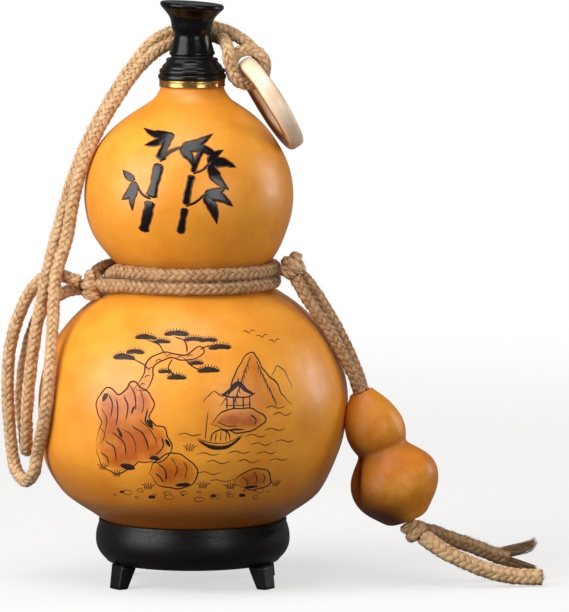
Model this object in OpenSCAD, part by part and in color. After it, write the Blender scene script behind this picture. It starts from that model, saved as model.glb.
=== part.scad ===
// Gourd water bottle on a turned stand, with a carrying cord and a small gourd charm.
// Millimetres, +Z up, origin on the floor under the middle of the stand.

/* [Gourd] */
// Radius of the lower bulb
lower_r = 73.5; // [70:0.5:77]
// How much fuller than an ellipse the lower bulb is between the seat and its widest part
lower_fullness = 0.25; // [0:0.05:0.3]
// Height from the lowest point of the gourd to the widest part of the lower bulb
lower_drop = 69; // [66:0.5:74]
// Height from the widest part of the lower bulb to where its dome would close
lower_rise = 63; // [60:0.5:67]
// Radius of the upper bulb
upper_r = 49.5; // [46:0.5:52]
// Height from the widest part of the lower bulb to the widest part of the upper one
bulb_spacing = 98.5; // [95:0.5:104]
// Depth of the upper bulb below its widest part
upper_drop = 47.6; // [45:0.2:51]
// Height of the upper bulb's dome above its widest part
upper_rise = 46; // [44:0.5:49]
// Radius of the flesh left between the two bulbs
waist_core_r = 12; // [8:0.5:20]
// Radius of the cut neck
neck_r = 15; // [13.5:0.1:17]
// Height from the widest part of the upper bulb to the cut neck
neck_rise = 51.5; // [50:0.5:56]
// How far the neck widens downwards
neck_flare = 4.4; // [0:0.2:5]
// Height over which it widens
flare_h = 9; // [6:0.5:12]
// Thickness of the dried shell
shell_wall = 4; // [2.5:0.5:6]
// Radius of the hole drilled down the neck
neck_bore_r = 9; // [8:0.1:10.5]

/* [Stand] */
// Largest radius of the stand's ring
stand_r = 46; // [44:0.5:50]
// Height of the ring's underside above the floor, which is the height of the legs
leg_h = 11; // [8:0.5:16]
// Height of the gourd's lowest point above the ring's underside
gourd_sink = 7; // [4:0.5:10]
// Radius of the hole through the stand's ring
stand_hole_r = 33; // [30:0.5:35]
// How far the ring's side curves in at its foot
stand_bulge = 3.2; // [1:0.2:5]
// Width of the ring's rim outside the seat that the gourd rests on
seat_rim = 2.2; // [1.8:0.1:4]
// Width of each leg at its top, measured round the ring
leg_w = 12; // [10:0.5:14]
// Depth of each leg at its top, measured outwards
leg_depth = 9; // [8:0.5:10]
// Width of each foot
foot_w = 9; // [7:0.5:10]
// Depth of each foot
foot_depth = 5; // [4:0.5:7]
// How far each foot stands out beyond the top of its leg
leg_splay = 2; // [0:0.5:4]
// Angle of each leg from the stand's left and right
leg_turn = 33; // [30:1:45]
// Radius of the dowel on top of each leg
dowel_r = 2.5; // [2:0.1:3]
// Height of that dowel
dowel_h = 8; // [5:0.5:10]

/* [Mouth] */
// Height of the brass ferrule
ferrule_h = 3.5; // [2.5:0.1:5]
// How far the ferrule stands out round the neck
ferrule_lip = 0.2; // [0.1:0.1:1]
// Height of the black collar
collar_h = 10; // [9:0.5:13]
// Radius of the collar's foot
collar_r = 16.1; // [15.5:0.1:16.4]
// Radius of the collar's top
collar_top_r = 11.2; // [10.6:0.1:12]
// Wall of the tube that lines the neck
tube_wall = 1.6; // [1:0.1:2]
// Length of that tube below the cut neck
tube_drop = 16; // [12:0.5:22]

/* [Stopper] */
// Height of the black stopper head
stopper_h = 24.6; // [22:0.2:28]
// Radius of the stopper's rim
rim_r = 14.8; // [13:0.1:16]
// Radius of the stopper's waist, where the cord passes behind it
stopper_waist_r = 8.2; // [7:0.1:9.2]
// Radius of the stopper's foot
stopper_foot_r = 10.8; // [10:0.1:11.2]
// Length of the cork below the stopper
cork_h = 20; // [15:0.5:24]
// Radius of the wooden peg that holds the cork
peg_r = 2.8; // [2:0.1:3.5]
// Length of that peg inside the stopper head
peg_grip = 9; // [6:0.5:12]
// Thickness of the seal washer under the stopper
washer_h = 1; // [0.6:0.1:1.6]

/* [Toggle ring] */
// Radius of the ring's band, measured to its middle
ring_mid_r = 20.4; // [19:0.1:21]
// Width of the band, measured outwards
ring_band = 7.8; // [6:0.1:8]
// Thickness of the band, measured along the ring's axis
ring_depth = 8.4; // [6:0.1:8.6]
// Lean of the ring from upright
ring_lean = 31.5; // [31.5:0.5:35]
// Turn of the ring towards the front
ring_turn = 9; // [0:1:9]

/* [Cord] */
// Diameter of the carrying cord
cord_d = 6; // [5:0.1:6.2]
// Diameter of the cord wound round the waist
wind_d = 5.7; // [5:0.1:5.7]
// Diameter of the cord hitched round the toggle ring
hitch_d = 5.6; // [5:0.1:5.6]
// Rise of the waist winding in one turn
wind_pitch = 6.2; // [6.2:0.1:7]
// Radius of the knots
knot_r = 6; // [5:0.1:6.2]
// Diameter of the loosened tail ends
tail_d = 7; // [6:0.1:7]
// Diameter of each unravelled bunch of fibres
fray_d = 4; // [3:0.1:4.4]

/* [Charm] */
// Length of the charm
charm_h = 64.5; // [62:0.5:65]
// Radius of its lower bulb
charm_lower_r = 20; // [18:0.5:21]
// Radius of its upper bulb
charm_upper_r = 14; // [12:0.5:14.5]
// Radius of its neck
charm_neck_r = 5.2; // [4.6:0.1:5.6]
// Diameter of the squeezed cord inside the charm
core_d = 5; // [4:0.1:5.6]
// Lean of the charm from upright
charm_lean = 19.6; // [18:0.2:21]

/* [Fits] */
// Gap between pieces that are glued or pressed together
glue_gap = 0.1; // [0.05:0.05:0.2]
// Gap between pieces that move on one another or lie side by side
run_gap = 0.3; // [0.25:0.05:0.4]

/* [Hidden] */
$fn = 96;

skin = "#f5a833";
jute = "#c9a073";
lacquer = "#15131a";
stain = "#1f1f24";

// Heights, worked out from the floor upwards
gourd_bottom = leg_h + gourd_sink;
lower_z = gourd_bottom + lower_drop;
upper_z = lower_z + bulb_spacing;
waist_z = lower_z + lower_rise - 3;
neck_top = upper_z + neck_rise;
collar_bottom = neck_top + ferrule_h;
collar_top = collar_bottom + collar_h;
washer_bottom = collar_top + run_gap;
stopper_bottom = washer_bottom + washer_h;

// Radii of the fitted pieces in the mouth
tube_out_r = neck_bore_r - glue_gap;
tube_in_r = tube_out_r - tube_wall;
cork_r = tube_in_r - run_gap;
sleeve_r = tube_out_r + glue_gap;

// How much the bulbs run into one another: the higher, the sharper the waist
blend = 4;

// 0 below low, 1 above high and a smooth rise between them
function ramp(x, low, high) = let (t = min(1, max(0, (x - low) / (high - low)))) t * t * (3 - 2 * t);

// Radius at height z of one bulb that is widest at height c; fullness 0 makes it an ellipse
function bulb(z, c, r, drop, rise, fullness = 0) =
    let (t = abs(z - c) / (z < c ? drop : rise), n = 2 + fullness)
    t < 1 ? r * pow(1 - pow(t, n), 1 / n) : 0;

// The lower bulb is full between the seat and its widest part
function fullness(z) = lower_fullness
    * ramp(z, lower_z - 0.78 * lower_drop, lower_z - 0.6 * lower_drop)
    * (1 - ramp(z, lower_z - 0.3 * lower_drop, lower_z - 0.05 * lower_drop));

// Several radii merged into one smooth outline
function merge(radii) = pow([for (r = radii) pow(r, blend)] * [for (r = radii) 1], 1 / blend);

// Radius of the big gourd at height z, drawn in by inset
function gourd_r(z, inset = 0) = merge([
    bulb(z, lower_z, lower_r - inset, lower_drop - inset, lower_rise - inset, fullness(z)),
    bulb(z, upper_z, upper_r - inset, upper_drop - inset, upper_rise - inset),
    bulb(z, waist_z, waist_core_r - inset, waist_z - lower_z, upper_z - waist_z),
    inset > 0 ? 0 : bulb(z, neck_top, neck_r + neck_flare * ramp(neck_top - z, 0, flare_h), neck_rise, 1)
]);

// Underside of the lower bulb at radius r
function gourd_under(r) = lower_z - lower_drop * sqrt(1 - pow(r / lower_r, 2));

// Smallest radius at which a round cord wound at height z clears the big gourd
function clear_r(z, radius) =
    max([for (a = [-90:10:90]) gourd_r(z + radius * sin(a)) + radius * cos(a)]);

// Smooth curve through hand-set points, with a number of steps between each two
function curve(p, steps = 4) = concat(
    [for (i = [0:len(p) - 2], s = [0:steps - 1])
        let (
            t = s / steps,
            a = p[max(i - 1, 0)], b = p[i], c = p[i + 1], d = p[min(i + 2, len(p) - 1)]
        )
        (b * 2 + (c - a) * t + (a * 2 - b * 5 + c * 4 - d) * t * t
            + (b * 3 - a - c * 3 + d) * t * t * t) / 2],
    [p[len(p) - 1]]
);

// A turn of the axes about X by a, then about Z by b, for points rather than solids
function turn_y(p, a) = [p.x * cos(a) + p.z * sin(a), p.y, p.z * cos(a) - p.x * sin(a)];
function turn_z(p, a) = [p.x * cos(a) - p.y * sin(a), p.x * sin(a) + p.y * cos(a), p.z];

function unit(v) = v / norm(v);
function heading(p, i) = unit(p[min(i + 1, len(p) - 1)] - p[max(i - 1, 0)]);
function square_to(n, t) = unit(n - t * (n * t));

// The side vector of each ring, carried along the route without twist
function sides_along(p, first) = [
    for (i = 0, n = square_to(first, heading(p, 0)); i < len(p);
        i = i + 1, n = i < len(p) ? square_to(n, heading(p, i)) : n) n
];

// A round tube with one ring of corners at each point of the route
module tube(p, d, corners = 8, first = [0.3, 1, 0.2]) {
    side = sides_along(p, first);
    last = len(p) - 1;
    rings = [for (i = [0:last], k = [0:corners - 1])
        let (t = heading(p, i), a = k * 360 / corners)
        p[i] + (side[i] * cos(a) + cross(t, side[i]) * sin(a)) * d / 2];
    walls = [for (i = [0:last - 1], k = [0:corners - 1])
        let (a = i * corners + k, b = i * corners + (k + 1) % corners)
        each [[a, a + corners, b], [b, a + corners, b + corners]]];
    start_cap = [for (k = [1:corners - 2]) [0, k, k + 1]];
    end_cap = [for (k = [1:corners - 2]) [0, k + 1, k] + [1, 1, 1] * last * corners];
    polyhedron(rings, concat(walls, start_cap, end_cap), convexity = 8);
}

// Least gap between the turns of a wound cord: from each point of its route to every stretch
// of it that lies at least skip points further on
function to_stretch(p, a, b) =
    let (t = min(1, max(0, (p - a) * (b - a) / ((b - a) * (b - a))))) norm(a + (b - a) * t - p);
function self_gap(p, d, skip) = min([
    for (i = [0:len(p) - 2 - skip], j = [i + skip:len(p) - 2]) to_stretch(p[i], p[j], p[j + 1])
]) - d;

// Stand
seat_r = stand_r - seat_rim;
seat_in_r = stand_hole_r + 3.5;
stand_lip = 0.5;
seat_top = gourd_under(seat_r) - run_gap;
side_top = seat_top - 0.6;
side_mid = 0.635 * (side_top - leg_h);
function stand_side(z) = stand_r - stand_bulge * pow((z - leg_h) / side_mid - 1, 2);
leg_mid_r = stand_hole_r + 1 + leg_depth / 2;

// Cord winding round the waist: a straight stretch leaves the left knot at each end, and the
// winding climbs from its lower turn to its upper one where it passes behind that knot
wind_gap_r = wind_d / 2 + run_gap;
knot_gap = knot_r + run_gap;
wind_low = waist_z + 0.8 - wind_pitch / 2;
wind_high = wind_low + wind_pitch;
loop_rings = 24;
wind_step = 360 / loop_rings;
gap_skip = loop_rings / 2 + 2;
wind_r = max([for (k = [0:0.25:1]) clear_r(wind_low + wind_pitch * k, wind_gap_r)]) / cos(wind_step / 2);
knot_left_z = wind_low - 1.6;
knot_right_z = wind_high + 1.2;
knot_side = 10;
knot_reach = max(
    wind_r + wind_gap_r + knot_r,
    clear_r(knot_left_z, knot_gap), clear_r(knot_right_z, knot_gap)
);
knot_left_at = turn_z([knot_reach, 0, knot_left_z], 180 + knot_side);
knot_right_at = turn_z([knot_reach, 0, knot_right_z], -knot_side);
leave = acos(wind_r / knot_reach);
wind_from = 180 + knot_side + leave;
wind_sweep = 720 - 2 * leave;
climb_sweep = 34;
climb_from = wind_sweep - 359 + leave - climb_sweep / 2;
function climb(a) = ramp(a, climb_from, climb_from + climb_sweep);
wind_rings = ceil(wind_sweep / wind_step);
wind_points = [for (i = [0:wind_rings])
    let (a = wind_sweep * i / wind_rings)
    turn_z([wind_r, 0, wind_low + wind_pitch * climb(a)], wind_from + a)];
function towards(a, b, gap) = b + unit(a - b) * gap;
wind_top_end = turn_z([-0.3, 0.58, 0.766], knot_side);
wind_route = concat(
    [towards(wind_points[0], knot_left_at, knot_gap),
        towards(wind_points[0], knot_left_at, knot_gap + wind_d)],
    wind_points,
    [knot_left_at + wind_top_end * (knot_gap + wind_d), knot_left_at + wind_top_end * knot_gap]
);
echo(waist_rope_least_gap = self_gap(wind_route, wind_d, gap_skip));

// Toggle ring: its band passes through the hitch, and it leans outwards from there
hitch_at = [26.4, 0, neck_top + 9.2];
hitch_r = norm([ring_band, ring_depth]) * 0.38 + 0.65 + run_gap + hitch_d / 2;
hitch_half = 5.2;
hitch_from = 250;
hitch_to = 830;
hitch_rings = ceil((hitch_to - hitch_from) / wind_step);
// Places a point of the ring's own frame: x down the ring, y along the band, z outwards
function ring_frame(p) = hitch_at + turn_y(
    let (a = ring_turn) [p.z * cos(a) + p.y * -sin(a), p.y * cos(a) + p.z * sin(a), -p.x],
    -ring_lean);
hitch_points = [for (i = [0:hitch_rings])
    let (a = hitch_from + (hitch_to - hitch_from) * i / hitch_rings)
    ring_frame([hitch_r * cos(a), hitch_half * (2 * i / hitch_rings - 1), hitch_r * sin(a)])];
// The last two points of a strand that runs straight into an end of the hitch
function hitch_lead(end, next) =
    let (away = unit(hitch_points[end] - hitch_points[next]))
    [hitch_points[end] + away * (hitch_d + run_gap), hitch_points[end] + away * run_gap];
echo(ring_hitch_least_gap = self_gap(hitch_points, hitch_d, gap_skip));

// The carrying cord's points are hand-set for these heights of the waist and the cut neck; with
// other heights, the points up to the waist follow the waist, and those at the mouth the neck
set_waist_z = 147;
set_neck_top = 237;
function follow(p) =
    let (t = min(1, max(0, (p.z - set_waist_z) / (set_neck_top - set_waist_z))))
    p + [0, 0, (waist_z - set_waist_z) * (1 - t) + (neck_top - set_neck_top) * t];

// Carrying cord, first strand: from the left knot, out and down, round its low loop, up the
// front of the bulb and over the shoulder to the back of the stopper
outer_route = [
    [-53.5, -9.8, 145.2], [-58.8, -9.4, 146.8], [-64.8, -4, 147.8], [-71, 1.6, 145.6],
    [-77.5, 5, 138], [-83, 5, 126], [-87, 4, 111], [-88, 3, 95], [-87.5, 3.5, 80], [-86.5, 3.5, 66], [-84.5, -0.5, 55],
    [-79.5, -10, 50], [-75, -19.5, 55], [-73, -23, 66], [-70.5, -30.5, 77], [-68.5, -35.5, 89],
    [-67, -35, 104], [-66, -28.5, 118], [-65.4, -19.5, 133], [-64.2, -14, 149],
    [-59, -10.5, 166], [-54.5, -9, 183], [-50.5, -8.5, 199], [-44, -4.5, 214], [-34.5, 1.5, 230],
    [-25.5, 7, 243], [-17, 11, 252], [-8, 14.2, 257], [2, 15.1, 259.4], [10, 11.2, 260],
    [14.6, 4, 258.6], [16.8, -3, 255.6]
];
// Second strand: from the same knot, behind the first, round a shorter loop and up beside it
inner_route = [
    [-52, -4.3, 141.2], [-59, 0.5, 139.5], [-68, 5, 134], [-74.5, 9, 124], [-79, 11.5, 110],
    [-81.5, 12.5, 95], [-82, 12.5, 83], [-81, 12, 74], [-80, 8.5, 67], [-79.2, 0, 63.4],
    [-78.6, -9, 66.4], [-78.6, -13, 74], [-78.4, -15, 82], [-77.5, -15.5, 94], [-76, -14.5, 108],
    [-73.5, -13, 124], [-70.5, -10.5, 140], [-67, -8, 156], [-63.5, -6.5, 173],
    [-59.5, -4.5, 190], [-53.5, -1.5, 206], [-45.5, 3.5, 222], [-36.5, 8.5, 237],
    [-27.5, 12.5, 249], [-18, 17, 257.5], [-8, 20, 262], [2, 21, 264], [11.5, 17.8, 263.4],
    [19.8, 11.8, 260.6]
];
front_pendant_route = [
    [49.2, -11.8, 146.4], [52.6, -14, 140.4], [57.5, -14.3, 132.8], [62.6, -14.6, 125.2], [69.2, -15.6, 114.4],
    [75.2, -15.4, 103.6], [79.3, -15.1, 92.7]
];
back_pendant_route = [
    [52, -6.1, 147.6], [57.3, -5.6, 141], [62, -7, 133.8], [66.6, -8.8, 126.4], [72.4, -9.6, 115.4],
    [77.2, -9.3, 104], [80.8, -8.9, 93.2]
];
plain_tail_route = [
    [110.4, -15.2, 22], [118.5, -18, 16], [130, -18.2, 9.8], [142, -17.4, 6.2],
    [154, -16.2, 4.4], [165.4, -15, 3.8]
];
frayed_tail_route = [[111.4, -8.1, 25], [119.5, -3.8, 22.6], [134, -0.5, 18.2], [145, 2.5, 12.6]];
upper_fray_route = [[146.3, 2.9, 14.5], [150.3, 4, 12.4], [157, 6, 14.6], [163.4, 8, 18.6]];
lower_fray_route = [[144.4, 2.3, 10.3], [148.3, 3.4, 8.2], [156, 4.6, 5], [163.4, 5, 2.6]];

// Charm: its own frame stands upright with its neck at charm_at
charm_at = [80.2, -12, 92.6];
charm_low_z = 0.287 * charm_h;
charm_high_z = 0.705 * charm_h;
function charm_r(z) = merge([
    bulb(z, charm_low_z, charm_lower_r, charm_low_z, charm_low_z),
    bulb(z, charm_high_z, charm_upper_r, 0.264 * charm_h, 0.248 * charm_h),
    bulb(z, charm_h, charm_neck_r, charm_h - charm_high_z, 1)
]);
charm_down = [sin(charm_lean), 0, -cos(charm_lean)];
charm_knot_at = charm_at + charm_down * (charm_h + knot_gap + 0.4) + [1.6, 0, 0.6];

module stand_ring() {
    color(stain)
    difference() {
        rotate_extrude()
        polygon(concat(
            [[stand_hole_r, leg_h]],
            [for (i = [0:10]) let (z = leg_h + (side_top - leg_h) * i / 10) [stand_side(z), z]],
            [[seat_r + stand_lip, seat_top]],
            [for (i = [0:8]) let (r = seat_r + (seat_in_r - seat_r) * i / 8)
                [r, gourd_under(r) - run_gap]],
            [[stand_hole_r, gourd_under(seat_in_r) - 4]]
        ));
        for (a = [leg_turn, 180 - leg_turn, 180 + leg_turn, 360 - leg_turn])
            rotate([0, 0, a]) translate([leg_mid_r, 0, leg_h - 1])
                cylinder(h = dowel_h + 1 + run_gap, r = dowel_r + glue_gap);
    }
}

// One tapered leg with its dowel, at an angle round the ring
module leg(angle) {
    out_top = leg_mid_r + leg_depth / 2;
    color(stain)
    rotate([0, 0, angle]) {
        intersection() {
            translate([0, leg_w, 0]) rotate([90, 0, 0])
                linear_extrude(2 * leg_w)
                polygon([
                    [out_top - leg_depth, leg_h], [out_top, leg_h],
                    [out_top + leg_splay, 0], [out_top + leg_splay - foot_depth, 0]
                ]);
            rotate([90, 0, 90])
                linear_extrude(2 * stand_r)
                polygon([[-foot_w / 2, 0], [foot_w / 2, 0], [leg_w / 2, leg_h], [-leg_w / 2, leg_h]]);
        }
        translate([leg_mid_r, 0, leg_h - 1]) cylinder(h = dowel_h + 1, r = dowel_r);
    }
}

module leg_front_left() leg(180 + leg_turn);
module leg_front_right() leg(360 - leg_turn);
module leg_back_left() leg(180 - leg_turn);
module leg_back_right() leg(leg_turn);

module gourd_shell() {
    dome_top = upper_z + upper_rise - shell_wall;
    color(skin)
    difference() {
        rotate_extrude()
        polygon(concat(
            [for (a = [0:6:84]) let (z = lower_z - lower_drop * cos(a)) [a == 0 ? 0 : gourd_r(z), z]],
            [for (i = [0:50]) let (z = lower_z + (neck_top - lower_z) * i / 50) [gourd_r(z), z]],
            [[0, neck_top]]
        ));
        rotate_extrude()
        polygon(concat(
            [for (a = [0:7.5:82.5]) let (z = lower_z - (lower_drop - shell_wall) * cos(a))
                [a == 0 ? 0 : gourd_r(z, shell_wall), z]],
            [for (i = [0:24]) let (z = lower_z + bulb_spacing * i / 24) [gourd_r(z, shell_wall), z]],
            [for (a = [7.5:7.5:90]) let (z = upper_z + (dome_top - upper_z) * sin(a))
                [a == 90 ? 0 : gourd_r(z, shell_wall), z]]
        ));
        translate([0, 0, upper_z]) cylinder(h = neck_rise + 1, r = neck_bore_r);
    }
}

module mouth_tube() {
    tube_bottom = neck_top - tube_drop;
    color(lacquer)
    translate([0, 0, tube_bottom])
    difference() {
        cylinder(h = collar_top - tube_bottom, r = tube_out_r);
        translate([0, 0, -1]) cylinder(h = collar_top - tube_bottom + 2, r = tube_in_r);
    }
}

module brass_ferrule() {
    lip_r = neck_r + ferrule_lip;
    edge = 0.4;
    color("#c9a25a")
    translate([0, 0, neck_top])
    rotate_extrude()
    polygon([
        [sleeve_r, 0], [lip_r - edge, 0], [lip_r, edge],
        [lip_r, ferrule_h - edge], [lip_r - edge, ferrule_h], [sleeve_r, ferrule_h]
    ]);
}

module mouth_collar() {
    drop_in = collar_r - collar_top_r;
    color(lacquer)
    translate([0, 0, collar_bottom])
    rotate_extrude()
    polygon(concat(
        [[sleeve_r, 0], [collar_r - 0.5, 0]],
        curve([
            [collar_r, 0.06 * collar_h], [collar_r - 0.12 * drop_in, 0.34 * collar_h],
            [collar_r - 0.2 * drop_in, 0.56 * collar_h], [collar_r - 0.62 * drop_in, 0.76 * collar_h],
            [collar_r - 0.8 * drop_in, 0.9 * collar_h], [collar_top_r, collar_h]
        ]),
        [[sleeve_r, collar_h]]
    ));
}

module stopper_head() {
    h = stopper_h;
    neck_low = stopper_foot_r - stopper_waist_r;
    neck_high = rim_r - stopper_waist_r;
    color(lacquer)
    translate([0, 0, stopper_bottom])
    difference() {
        rotate_extrude()
        polygon(concat(
            [[0, 0]],
            curve([
                [stopper_foot_r - 0.2, 0], [stopper_foot_r, 0.04 * h],
                [stopper_waist_r + 0.6 * neck_low, 0.18 * h], [stopper_waist_r + 0.24 * neck_low, 0.29 * h],
                [stopper_waist_r, 0.4 * h], [stopper_waist_r + 0.12 * neck_high, 0.5 * h],
                [stopper_waist_r + 0.27 * neck_high, 0.6 * h], [stopper_waist_r + 0.38 * neck_high, 0.71 * h],
                [stopper_waist_r + 0.64 * neck_high, 0.82 * h], [stopper_waist_r + 0.93 * neck_high, 0.925 * h],
                [rim_r, 0.97 * h], [rim_r - 0.7, h]
            ]),
            curve([[rim_r - 2.4, h - 0.1], [0.5 * rim_r, h - 0.7], [0, h - 0.9]])
        ));
        translate([0, 0, -1]) cylinder(h = peg_grip + 1 + glue_gap, r = peg_r + glue_gap);
    }
}

module stopper_peg() {
    peg_bottom = stopper_bottom - washer_h - cork_h + 4;
    color("#c9985a")
    translate([0, 0, peg_bottom])
    cylinder(h = stopper_bottom + peg_grip - peg_bottom, r = peg_r);
}

module cork_plug() {
    cork_top = washer_bottom;
    color("#c69c6d")
    translate([0, 0, cork_top - cork_h])
    difference() {
        rotate_extrude()
        polygon([[0, 0], [cork_r - 1.2, 0], [cork_r - 0.4, 0.8], [cork_r, 0.45 * cork_h], [cork_r, cork_h], [0, cork_h]]);
        translate([0, 0, 4 - glue_gap]) cylinder(h = cork_h, r = peg_r + glue_gap);
    }
}

module seal_washer() {
    color("#3a3a3c")
    translate([0, 0, washer_bottom])
    difference() {
        cylinder(h = washer_h, r = stopper_foot_r - 0.8);
        translate([0, 0, -1]) cylinder(h = washer_h + 2, r = peg_r + glue_gap);
    }
}

module toggle_ring() {
    soft = 2.2;
    x = ring_band / 2;
    y = ring_depth / 2;
    color("#fff3e0")
    translate(hitch_at)
    rotate([0, -ring_lean, 0]) rotate([0, 0, ring_turn])
    translate([0, 0, -ring_mid_r]) rotate([0, 90, 0])
    rotate_extrude()
    translate([ring_mid_r, 0])
    polygon([for (q = [0:3], a = [0:22.5:90])
        let (
            sx = q == 0 || q == 3 ? 1 : -1,
            sy = q < 2 ? 1 : -1,
            b = a + 90 * q
        )
        [sx * (x - soft) + soft * cos(b), sy * (y - soft) + soft * sin(b)]]);
}

module ring_hitch() color(jute) tube(hitch_points, hitch_d, 6);

module strap(route, lead) color(jute) tube(concat([for (p = route) follow(p)], lead), cord_d);

module strap_outer() strap(outer_route, hitch_lead(0, 1));

module strap_inner() strap(inner_route, hitch_lead(hitch_rings, hitch_rings - 1));

module waist_rope() color(jute) tube(wind_route, wind_d, 6);

module knot(at) color(jute) translate(at) sphere(r = knot_r, $fn = 48);

module knot_left() knot(knot_left_at);

module knot_right() knot(knot_right_at);

module charm_knot() knot(charm_knot_at);

module pendant_cord_front() color(jute) tube(front_pendant_route, cord_d);

module pendant_cord_back() color(jute) tube(back_pendant_route, cord_d);

module charm_gourd() {
    color("#d98324")
    translate(charm_at) rotate([0, -charm_lean, 0]) translate([0, 0, -charm_h])
    difference() {
        rotate_extrude()
        polygon(concat(
            [for (a = [0:10:80]) let (z = charm_low_z * (1 - cos(a))) [a == 0 ? 0 : charm_r(z), z]],
            [for (i = [0:18]) let (z = charm_low_z + (charm_h - charm_low_z) * i / 18) [charm_r(z), z]],
            [[0, charm_h]]
        ));
        translate([0, 0, -1]) cylinder(h = charm_h + 2, r = core_d / 2 + run_gap);
    }
}

module charm_core_cord() {
    color(jute)
    translate(charm_at) rotate([0, -charm_lean, 0]) translate([0, 0, -charm_h - run_gap])
    cylinder(h = charm_h + run_gap, r = core_d / 2);
}

module tail_plain() color(jute) tube(plain_tail_route, tail_d);

module tail_frayed() color("#8b6844") tube(frayed_tail_route, tail_d);

module frayed_end_upper() color("#8b6844") tube(upper_fray_route, fray_d);

module frayed_end_lower() color("#8b6844") tube(lower_fray_route, fray_d);

stand_ring();
leg_front_left();
leg_front_right();
leg_back_left();
leg_back_right();
gourd_shell();
mouth_tube();
brass_ferrule();
mouth_collar();
stopper_head();
stopper_peg();
cork_plug();
seal_washer();
toggle_ring();
ring_hitch();
strap_outer();
strap_inner();
waist_rope();
knot_left();
knot_right();
pendant_cord_front();
pendant_cord_back();
charm_gourd();
charm_core_cord();
charm_knot();
tail_plain();
tail_frayed();
frayed_end_upper();
frayed_end_lower();
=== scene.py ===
import bmesh
import bpy
import numpy as np
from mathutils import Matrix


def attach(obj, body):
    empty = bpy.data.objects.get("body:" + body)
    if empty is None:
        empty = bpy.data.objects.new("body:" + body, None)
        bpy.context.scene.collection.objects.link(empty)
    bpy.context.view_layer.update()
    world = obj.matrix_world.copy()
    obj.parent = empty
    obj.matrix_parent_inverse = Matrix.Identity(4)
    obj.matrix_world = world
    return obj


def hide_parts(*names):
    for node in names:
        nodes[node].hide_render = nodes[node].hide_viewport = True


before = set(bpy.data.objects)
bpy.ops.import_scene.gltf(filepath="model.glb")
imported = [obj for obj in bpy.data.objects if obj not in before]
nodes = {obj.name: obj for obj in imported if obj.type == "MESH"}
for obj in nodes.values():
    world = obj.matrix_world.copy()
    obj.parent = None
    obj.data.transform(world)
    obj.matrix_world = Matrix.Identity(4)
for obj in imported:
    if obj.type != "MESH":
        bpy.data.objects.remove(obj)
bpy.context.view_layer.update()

mm = 0.001

picture = {
    "width": 569, "height": 612,     # pixels
    "pixel": 0.475,                  # mm of the object that one pixel covers
    "middle": (43.7, 0.0, 132.3),    # point of the object at the picture's middle, mm
    "elevation": 6.3,                # degrees above the horizon
    "distance": 3500.0,              # mm
    "sensor": 36.0,
}


def makeCamera(look):
    tilt = np.radians(look["elevation"])
    data = bpy.data.cameras.new("camera")
    data.sensor_width = look["sensor"]
    data.lens = look["sensor"] * look["distance"] / (look["height"] * look["pixel"])
    camera = bpy.data.objects.new("camera", data)
    away = np.array([0, -np.cos(tilt), np.sin(tilt)]) * look["distance"]
    camera.location = (np.array(look["middle"]) + away) * mm
    camera.rotation_euler = (np.pi / 2 - tilt, 0, 0)
    bpy.context.scene.collection.objects.link(camera)
    bpy.context.scene.camera = camera


makeCamera(picture)
print("camera made")



# Quads between the points of a grid; either way round may be closed on itself
def gridQuads(rows, columns, closeColumns=True):
    r, c = np.meshgrid(np.arange(rows - 1), np.arange(columns if closeColumns else columns - 1), indexing="ij")
    near, far = r * columns, (r + 1) * columns
    c2 = (c + 1) % columns
    return np.stack([near + c, near + c2, far + c2, far + c], -1).reshape(-1, 4)


# The same quads' places on a flat map: u counts columns, v runs along the rows
def gridMap(u, v):
    r, c = np.meshgrid(np.arange(len(v) - 1), np.arange(len(u) - 1), indexing="ij")
    corners = [(r, c), (r, c + 1), (r + 1, c + 1), (r + 1, c)]
    return np.stack([np.stack([u[b], v[a]], -1) for a, b in corners], -2).reshape(-1, 4, 2)


# Puts points in mm and quads into a mesh object whose faces point outwards
def makePiece(name, points, quads, flatMap=None, values=None):
    points = np.asarray(points, float).reshape(-1, 3)
    a, b, c, d = (points[quads[:, k]] for k in range(4))
    volume = np.einsum("ij,ij->i", a - points[0], np.cross(b - a, d - a) + np.cross(d - c, b - c)).sum()
    if volume < 0:
        quads = quads[:, ::-1]
        flatMap = None if flatMap is None else flatMap[:, ::-1]
    mesh = bpy.data.meshes.new(name)
    mesh.vertices.add(len(points))
    mesh.vertices.foreach_set("co", (points * mm).astype(np.float32).ravel())
    mesh.loops.add(quads.size)
    mesh.loops.foreach_set("vertex_index", quads.astype(np.int32).ravel())
    mesh.polygons.add(len(quads))
    mesh.polygons.foreach_set("loop_start", np.arange(0, quads.size, 4, dtype=np.int32))
    mesh.polygons.foreach_set("use_smooth", np.ones(len(quads), bool))
    if flatMap is not None:
        mesh.uv_layers.new(name="surface").data.foreach_set("uv", flatMap.astype(np.float32).ravel())
    for key, value in (values or {}).items():
        mesh.attributes.new(key, "FLOAT", "POINT").data.foreach_set("value", value.astype(np.float32).ravel())
    mesh.update(calc_edges=True)
    joined = bmesh.new()  # closes the poles and seams
    joined.from_mesh(mesh)
    bmesh.ops.remove_doubles(joined, verts=joined.verts, dist=1e-7)
    joined.to_mesh(mesh)
    joined.free()
    piece = bpy.data.objects.new(name, mesh)
    bpy.context.scene.collection.objects.link(piece)
    return piece


# Points an equal step apart along a polyline
def evenPoints(points, step=None, count=None):
    points = np.asarray(points, float)
    run = np.r_[0, np.cumsum(np.linalg.norm(np.diff(points, axis=0), axis=1))]
    count = count or int(round(run[-1] / step)) + 1
    at = np.linspace(0, run[-1], count)
    return np.stack([np.interp(at, run, points[:, k]) for k in range(points.shape[1])], -1)


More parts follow.
